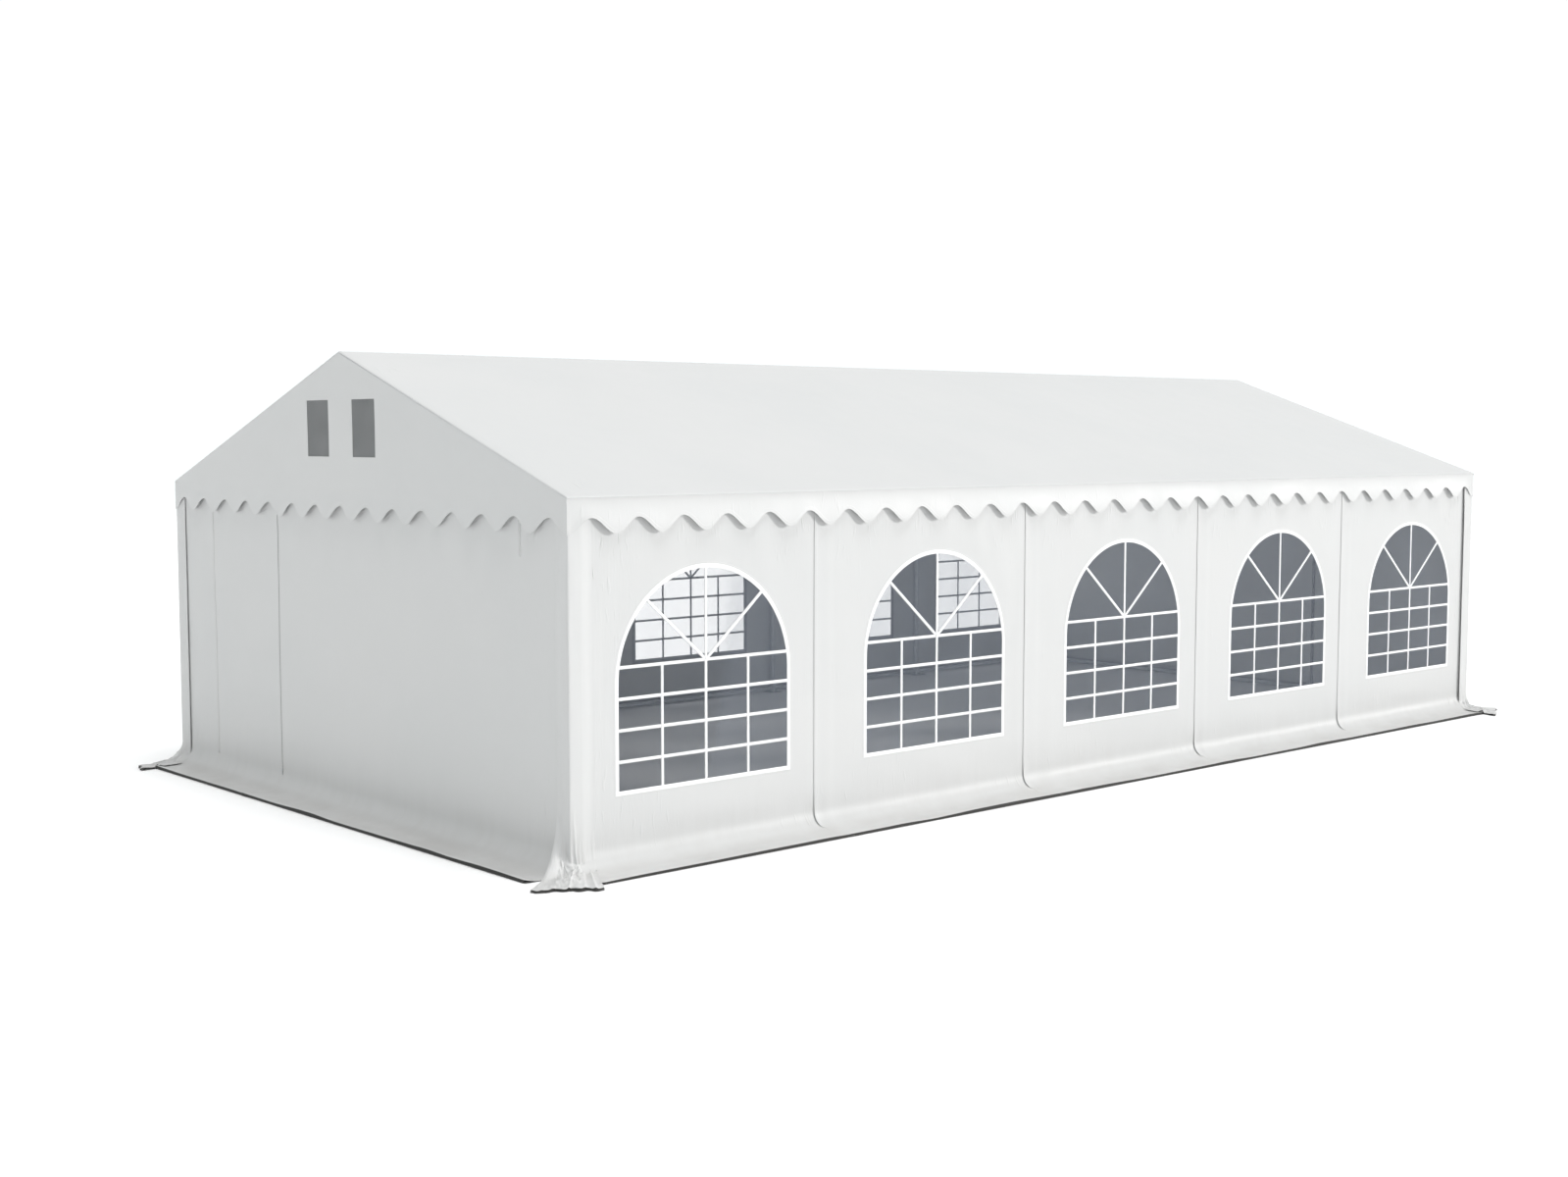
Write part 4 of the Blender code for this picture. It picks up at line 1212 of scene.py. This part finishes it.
def cornerPlace(look):
    endTip, sideTip = np.array(look["tips"])
    seed, length, base = look["seed"], stripLength(look), cornerLook["proud"]
    edgeShare = (look["strips"][0] + base) / length
    skirt, lowest, clear = cornerLook["skirtCloth"], cornerLook["low"], cornerLook["clear"]

    def pleats(share, z, run, total):
        # Narrow pleats on the side's part, shallow ones on the end's, and small crumples by the corner
        level = share * 0
        top = look["pleatTop"] * (0.92 + 0.45 * swell(share * 8.0, level, seed + 7))
        fade = ease(top - z, 0.0, 0.22) * (0.60 + 0.40 * ease(z, 0.0, 0.05))
        fade = fade * (0.22 + 0.78 * ease(share, edgeShare - 0.02, edgeShare + 0.05))
        phase = share * look["pleats"] + 0.50 * swell(share * 3.1, z / 0.25, seed)
        phase = phase + 0.20 * swell(share * 9.0, z / 0.09, seed + 1)
        fold = (0.5 + 0.5 * np.cos(2 * math.pi * phase)) ** 2.4
        size = np.clip(0.68 + 0.95 * swell(share * 6.3, z / 0.4, seed + 2), 0.12, 1.7)
        near = 1 - ease(np.abs(share - edgeShare - 0.03), 0.10, 0.34)
        bunch = ease(0.13 - z, 0.0, 0.07) * ease(total - run, 0.03, 0.22) * near
        coarse, fine = cornerLook["bunch"]
        crumple = cornerLook["crumple"] * ease(0.22 - z, 0.0, 0.14) + coarse * bunch
        crumple = crumple * (1 + swell(share * 17.0, run / 0.045, seed + 3))
        crumple = crumple + fine * bunch * (1 + swell(share * 37.0, run / 0.021, seed + 8))
        inside = ease(share, 0.0, 0.06) * ease(1 - share, 0.0, 0.06)
        return (look["depth"] * fade * size * fold + crumple) * (0.25 + 0.75 * inside)

    def placeAt(flat):
        travelled, cloth = flat[:, 0], flat[:, 1]
        share = travelled / length
        # drop is 0 to 1 down the strip's upright part, and 1 to 2 out along its skirt
        drop = np.where(cloth > skirt, 1 - (cloth - skirt) / cornerLook["uprightCloth"], 2 - cloth / skirt)
        toSide = ease(share, 0.0, edgeShare + 0.06)
        sweep = look["sweep"][0] * (1 - toSide) + look["sweep"][1] * toSide
        height = tent["wallTop"] + (sweep - tent["wallTop"]) * np.clip(drop, 0.0, 1.0)
        # each edge of the strip stands off the wall by its own distance
        below = ease(1.99 - height, 0.0, 0.12)
        proud = np.full(len(flat), base)
        for gap, far in ((1 - ease(travelled, 0.0, 0.085), look["standOff"][0]),
                         (1 - ease(length - travelled, 0.0, 0.10), look["standOff"][1])):
            proud = proud + gap * (far - base) * (below if far > base else 1.0)
        strip, outward = cornerSection(travelled, proud, look["strips"][0])
        reach = endTip * (1 - share[:, None]) + sideTip * share[:, None] - strip
        distance = np.hypot(reach[:, 0], reach[:, 1])
        bend = np.minimum(sweep, distance)
        arcLength = (sweep + bend) * math.pi / 4
        total = arcLength + distance - bend
        run = np.clip(drop - 1.0, 0.0, 1.0) * total
        turned = np.clip(run - total + cornerLook["turnDown"], 0.0, None)
        run = run - turned
        angle = np.clip(run / arcLength, 0.0, 1.0) * math.pi / 2
        faceOut, faceUp = np.cos(angle), np.sin(angle)
        away = bend * (1 - faceOut) + np.clip(run - arcLength, 0.0, None)
        z = np.where(drop < 1.0, height, lowest + (sweep - lowest) * (1 - faceUp))
        # the corner's own edge stays sharp
        crisp = (1 - ease(np.abs(share - edgeShare), 0.015, 0.045)) * ease(z, 0.07, 0.15)
        ripple = (1 + swell(share * 7.0, z / 0.45, seed + 4)) * ease(2.0 - height, 0.0, 0.3)
        ripple = cornerLook["ripple"] * ripple
        push = (pleats(share, z, run, total) + ripple) * (1 - 0.85 * crisp) + flat[:, 2]
        # the ground line is ragged, and its edge curls up a little before the hem
        ragged = swell(share * 9.0, share * 0, seed + 5) * ease(run / total, 0.6, 1.0)
        ragged = 1 + cornerLook["ragged"] * ragged
        curl = 1.1 + 0.9 * swell(share * 6.0, share * 0, seed + 6)
        curl = curl * cornerLook["tipLift"] * ease(run / total, 0.75, 1.0)
        moved = strip + reach * (away * ragged / distance)[:, None] + outward * (push * faceOut)[:, None]
        x, y, z = moved[:, 0], moved[:, 1], z + push * faceUp + curl
        # over the walls' bends and flaps
        low = 1 - ease(z, 0.12, 0.16)
        bent = (wallOut(z) + clear) * low - 9 * (1 - low)
        x = np.where(y < 0.004, np.maximum(x, bent), x)
        y = np.where(x < 0.004, np.maximum(y, bent), y)
        over = np.maximum(flapUnder(x, y, look["cut"]), flapUnder(y, x, look["cut"]))
        z = np.where(z < 0.12, np.maximum(z, over + clear), z)
        foot = np.maximum(over * 0.9, 0.004)
        return np.stack([x, y, z - (z - foot) * turned / cornerLook["turnDown"]], 1)
    return placeAt


skirtTop = cornerLook["skirtCloth"]
stripTop = skirtTop + cornerLook["uprightCloth"]
heightAt = np.concatenate([[0.0], np.linspace(cornerLook["turnDown"], skirtTop, cornerLook["skirtRows"])[:-1],
                           np.linspace(skirtTop, stripTop, cornerLook["upperRows"])])
for corner, look in corners.items():
    side, end = corner.split("_")
    flat, faces = gridCloth(np.linspace(0.0, stripLength(look), cornerLook["columns"]), heightAt)
    ordered = [face[::-1] for face in faces] if look["signs"][0] * look["signs"][1] < 0 else faces
    support = "portal_frame_1" if end == "left" else "portal_frame_6"
    hangCloth(f"{side}{end.title()}Corner", (flat, ordered), cornerPlace(look), cornerMatrix(look),
              corner + "_corner_cover", "hung", [support], shaped=False,
              hem=np.minimum(np.minimum(flat[:, 0], stripLength(look) - flat[:, 0]), flat[:, 1]),
              creased=0.35 + 0.55 * (1 - ease(flat[:, 1], 0.4, 1.0)),
              turned=np.clip(1 - flat[:, 1] / cornerLook["turnDown"], 0.0, 1.0))
print("corner covers:", len(faces), "faces each")


# Stitches: rows of thread along hems, laps, zips, vents and strips
stitchLook = {
    "pitch": 0.0090,
    "length": 0.0062,
    "radius": 0.00045,
    "inset": 0.010,
    "besideZip": 0.013,
    "endGap": 0.012,  # a row along the scallops ends this far from their ends
    "perScallop": 12,
    "swing": 0.93,  # of the scallops' own
    "out": 0.0002,
    "wallRow": (0.16, 1.93),  # the height of a row on a wall's or a strip's cloth, from and to
    "stripRow": (0.42, 2.27),
}


def stitchRows(lines):
    return rowCloth(stitches, lines, stitchLook["out"], Pitch=stitchLook["pitch"],
                    Length=stitchLook["length"], Radius=stitchLook["radius"], Finish=thread)


def scallopRow(half, count):
    return scallopLine(half - stitchLook["endGap"], count, stitchLook["perScallop"], stitchLook["inset"],
                       stitchLook["swing"])


def sew(name, runs):
    # One piece from several rows of stitches, each with its own place on the cloth
    placed, turned = [], []
    for (flat, faces), placeAt, matrix in runs:
        placed.append((np.array(matrix.to_3x3()) @ placeAt(flat).T).T + np.array(matrix.translation))
        turned.append((flat, [face[::-1] for face in faces] if matrix.determinant() < 0 else faces))
    points = np.concatenate(placed)
    hang(name, joinCloth(turned), lambda flat: points, Matrix.Identity(4), thread, "white_sheeting")


inset = stitchLook["inset"]
lapRow, wideRow, narrowRow = (stitchRows([upLine(across, stitchLook["wallRow"])]) for across in (
    -tent["bay"] / 2 - panelLook["lap"] + inset,
    endLook["zip"] + stitchLook["besideZip"],
    endLook["zip"] - stitchLook["besideZip"]))
eaveRow = stitchRows([scallopRow(coverHalfLength, valanceLook["scallops"])])
ventRows = [ventOutline(left, right, inset) for left, right in gableLook["vents"]]
gableRow = stitchRows([scallopRow(coverHalfWidth, gableLook["scallops"])]
                      + [row + row[:1] for row in ventRows])
for side in ("front", "rear"):
    laps = [(lapRow, wallPlace(side, centre, lapRise), sidePlaces[side])
            for own, bay, centre in sideBays if own == side and bay > 0]
    sew(side + "Stitches", [(eaveRow, valancePlace(side), sidePlaces[side])] + laps)
for side in ("left", "right"):
    runs = [(gableRow, gablePlace(side), sidePlaces[side])]
    runs += [(row, wallPlace(side, 0.0, rises), sidePlaces[side])
             for row, rises in ((wideRow, overZip), (narrowRow, besideZip))]
    for corner, look in corners.items():
        if corner.endswith(side):
            rows = stitchRows([upLine(across, stitchLook["stripRow"])
                               for across in (inset, stripLength(look) - inset)])
            runs.append((rows, cornerPlace(look), cornerMatrix(look)))
    sew(side + "Stitches", runs)
print("stitches:", len(eaveRow[1]), "faces along each eave")


# Bolts through the frame's fittings
boltLook = {
    "head": 0.0085,
    "headHeight": 0.0055,
    "headSides": 6,
    "washer": 0.0115,
    "washerHeight": 0.0018,
    "washerSides": 14,
    "fromNode": 0.075,
    "fromPost": 0.0268,  # from the middle of a frame's fitting out to the bolt's head or nut
    "footHeight": 0.085,
}
frameXs = [-4.9692, -3.0, -1.0, 1.0, 3.0, 4.9692]
# where the middles of post and rafter meet at the eave, and those of the rafters at the ridge
eaveNode = Vector((0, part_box("portal_frame_2")[1][1] - 0.07, 2.1444))
ridgeNode = Vector((0, 0, tent["ridge"] - 0.0326))


def boltTree():
    board, given = newTree("bolts", ("Head", "HeadHeight", "Washer", "WasherHeight", "Turn"))
    parts = []
    for sides, radius, depth, along in (
            (boltLook["headSides"], "Head", "HeadHeight", given("WasherHeight") + given("HeadHeight") * 0.5),
            (boltLook["washerSides"], "Washer", "WasherHeight", given("WasherHeight") * 0.5)):
        part = board.add("GeometryNodeMeshCylinder",
                         {"Vertices": sides, "Radius": given(radius), "Depth": given(depth)})
        moved = {"Geometry": part, "Translation": board.vector(Z=along)}
        parts.append(board.add("GeometryNodeTransform", moved))
    placed = board.add("GeometryNodeInstanceOnPoints",
                       {"Points": given("Geometry"), "Rotation": given("Turn"),
                        "Instance": board.joined(parts)})
    return closeTree(board, placed, given("Finish"))


def boltSpots():
    # Beside every fitting: near the eaves on post and rafter, near the ridge, and above the feet
    spots, away = [], boltLook["fromNode"]
    for sign in (-1, 1):
        eave = Vector((0, sign * eaveNode.y, eaveNode.z))
        down = (eave - ridgeNode).normalized() * away
        spots += [eave - Vector((0, 0, away)), eave - down, ridgeNode + down,
                  Vector((0, eave.y, boltLook["footHeight"]))]
    return spots


bolts = boltTree()
for label, facing in (("Heads", 1), ("Nuts", -1)):
    points = [spot + Vector((x + facing * boltLook["fromPost"], 0, 0))
              for x in frameXs for spot in boltSpots()]
    start = bpy.data.meshes.new("boltPoints")
    start.from_pydata(points, [], [])
    mesh = bake(bolts, start, "frame" + label, Head=boltLook["head"], HeadHeight=boltLook["headHeight"],
                Washer=boltLook["washer"], WasherHeight=boltLook["washerHeight"],
                Turn=(0.0, facing * math.pi / 2, 0.0), Finish=zincTube)
    finishPiece(bpy.data.objects.new("frame" + label, mesh))
print("bolts:", len(points), "on each side")


# Steel frame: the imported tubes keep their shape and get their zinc
steelNodes = [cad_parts[name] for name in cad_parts
              if name.startswith("portal_frame") or "purlin" in name or "ground_bar" in name]
for node in steelNodes:
    node.data.materials.clear()
    node.data.materials.append(zincTube)
print("steel frame:", len(steelNodes), "nodes")


# Studio: pale floor, soft light from the front and above, camera where the photo was taken
studio = {
    "floor": (0.965, 0.965, 0.965),
    "floorCloud": (0.95, 0.95, 0.95),
    "floorSize": 90.0,
    "horizon": (1.015, 1.058, 1.06),
    "horizonFront": (0.60, 0.62, 0.615),
    "skyRight": (0.26, 0.265, 0.27),
    "skyLeft": (0.20, 0.205, 0.205),
    "suns": {
        "key": {"energy": 1.78, "angle": 9.0, "from": (0.749, -0.629, 0.208), "colour": (1.0, 0.985, 0.97)},
        "top": {"energy": 2.62, "angle": 40.0, "from": (0.02, -0.14, 0.99), "colour": (1.0, 1.0, 1.0)},
    },
    "side": {"power": 51.0, "size": (8.0, 13.0), "spread": 50.0, "place": (-10.6, 3.2, 5.0)},
    "photoWidth": 1599,
    "lens": 1937.69,  # in pixels of the photo
    "cameraPlace": (-11.1916, -11.3284, 2.5104),
    "yaw": 48.299,
    "pitch": -4.642,
}


def standing(name, data):
    # Lights, camera and floor only stand in the scene and are no pieces
    item = bpy.data.objects.new(name, data)
    bpy.context.scene.collection.objects.link(item)
    return item


def studioFloor(look):
    material, board = newFinish("studioFloor", look["floor"], 0.9)
    board.paint(Base_Color=board.mix(board.noise(board.place(), 0.15), look["floor"], look["floorCloud"]))
    half = look["floorSize"] / 2
    mesh = bpy.data.meshes.new("studioFloor")
    mesh.from_pydata([(-half, -half, 0), (half, -half, 0), (half, half, 0), (-half, half, 0)], [],
                     [[0, 1, 2, 3]])
    mesh.materials.append(material)
    standing("studioFloor", mesh)


def studioLight(look):
    world = bpy.data.worlds.new("studio")
    world.use_nodes = True
    board = Board(world.node_tree)
    height = board.split(board.add("ShaderNodeTexCoord", out="Generated"), "Z")
    sky = board.mix(board.between(height.out("X"), -0.5, 0.5), look["skyLeft"], look["skyRight"])
    around = board.mix(board.between(height.out("Y"), -0.45, 0.05), look["horizonFront"], look["horizon"])
    board.feed(world.node_tree.nodes["Background"].inputs["Color"],
               board.mix(board.between(height, 0.26, 0.58), around, sky))
    bpy.context.scene.world = world
    for name, settings in look["suns"].items():
        sun = bpy.data.lights.new(name + "Light", "SUN")
        sun.energy, sun.color = settings["energy"], settings["colour"]
        sun.angle = math.radians(settings["angle"])
        turn = Vector(settings["from"]).to_track_quat("Z", "Y")
        standing(name + "Light", sun).rotation_euler = turn.to_euler()
    # a soft panel over the floor beside the end wall
    panel = bpy.data.lights.new("sideLight", "AREA")
    panel.shape = "RECTANGLE"
    panel.size, panel.size_y = look["side"]["size"]
    panel.energy, panel.spread = look["side"]["power"], math.radians(look["side"]["spread"])
    standing("sideLight", panel).location = look["side"]["place"]


def photoCamera(look):
    data = bpy.data.cameras.new("photoCamera")
    data.sensor_width = 36.0
    data.lens = look["lens"] * data.sensor_width / look["photoWidth"]
    data.clip_end = 300.0
    camera = standing("photoCamera", data)
    yaw, pitch = math.radians(look["yaw"]), math.radians(look["pitch"])
    toward = Vector((math.cos(pitch) * math.cos(yaw), math.cos(pitch) * math.sin(yaw), math.sin(pitch)))
    camera.location = look["cameraPlace"]
    camera.rotation_euler = toward.to_track_quat("-Z", "Y").to_euler()
    bpy.context.scene.camera = camera


studioFloor(studio)
studioLight(studio)
photoCamera(studio)
scene = bpy.context.scene
scene.view_settings.view_transform = "Standard"
scene.cycles.max_bounces = 10
scene.cycles.diffuse_bounces = 5
scene.cycles.transparent_max_bounces = 16
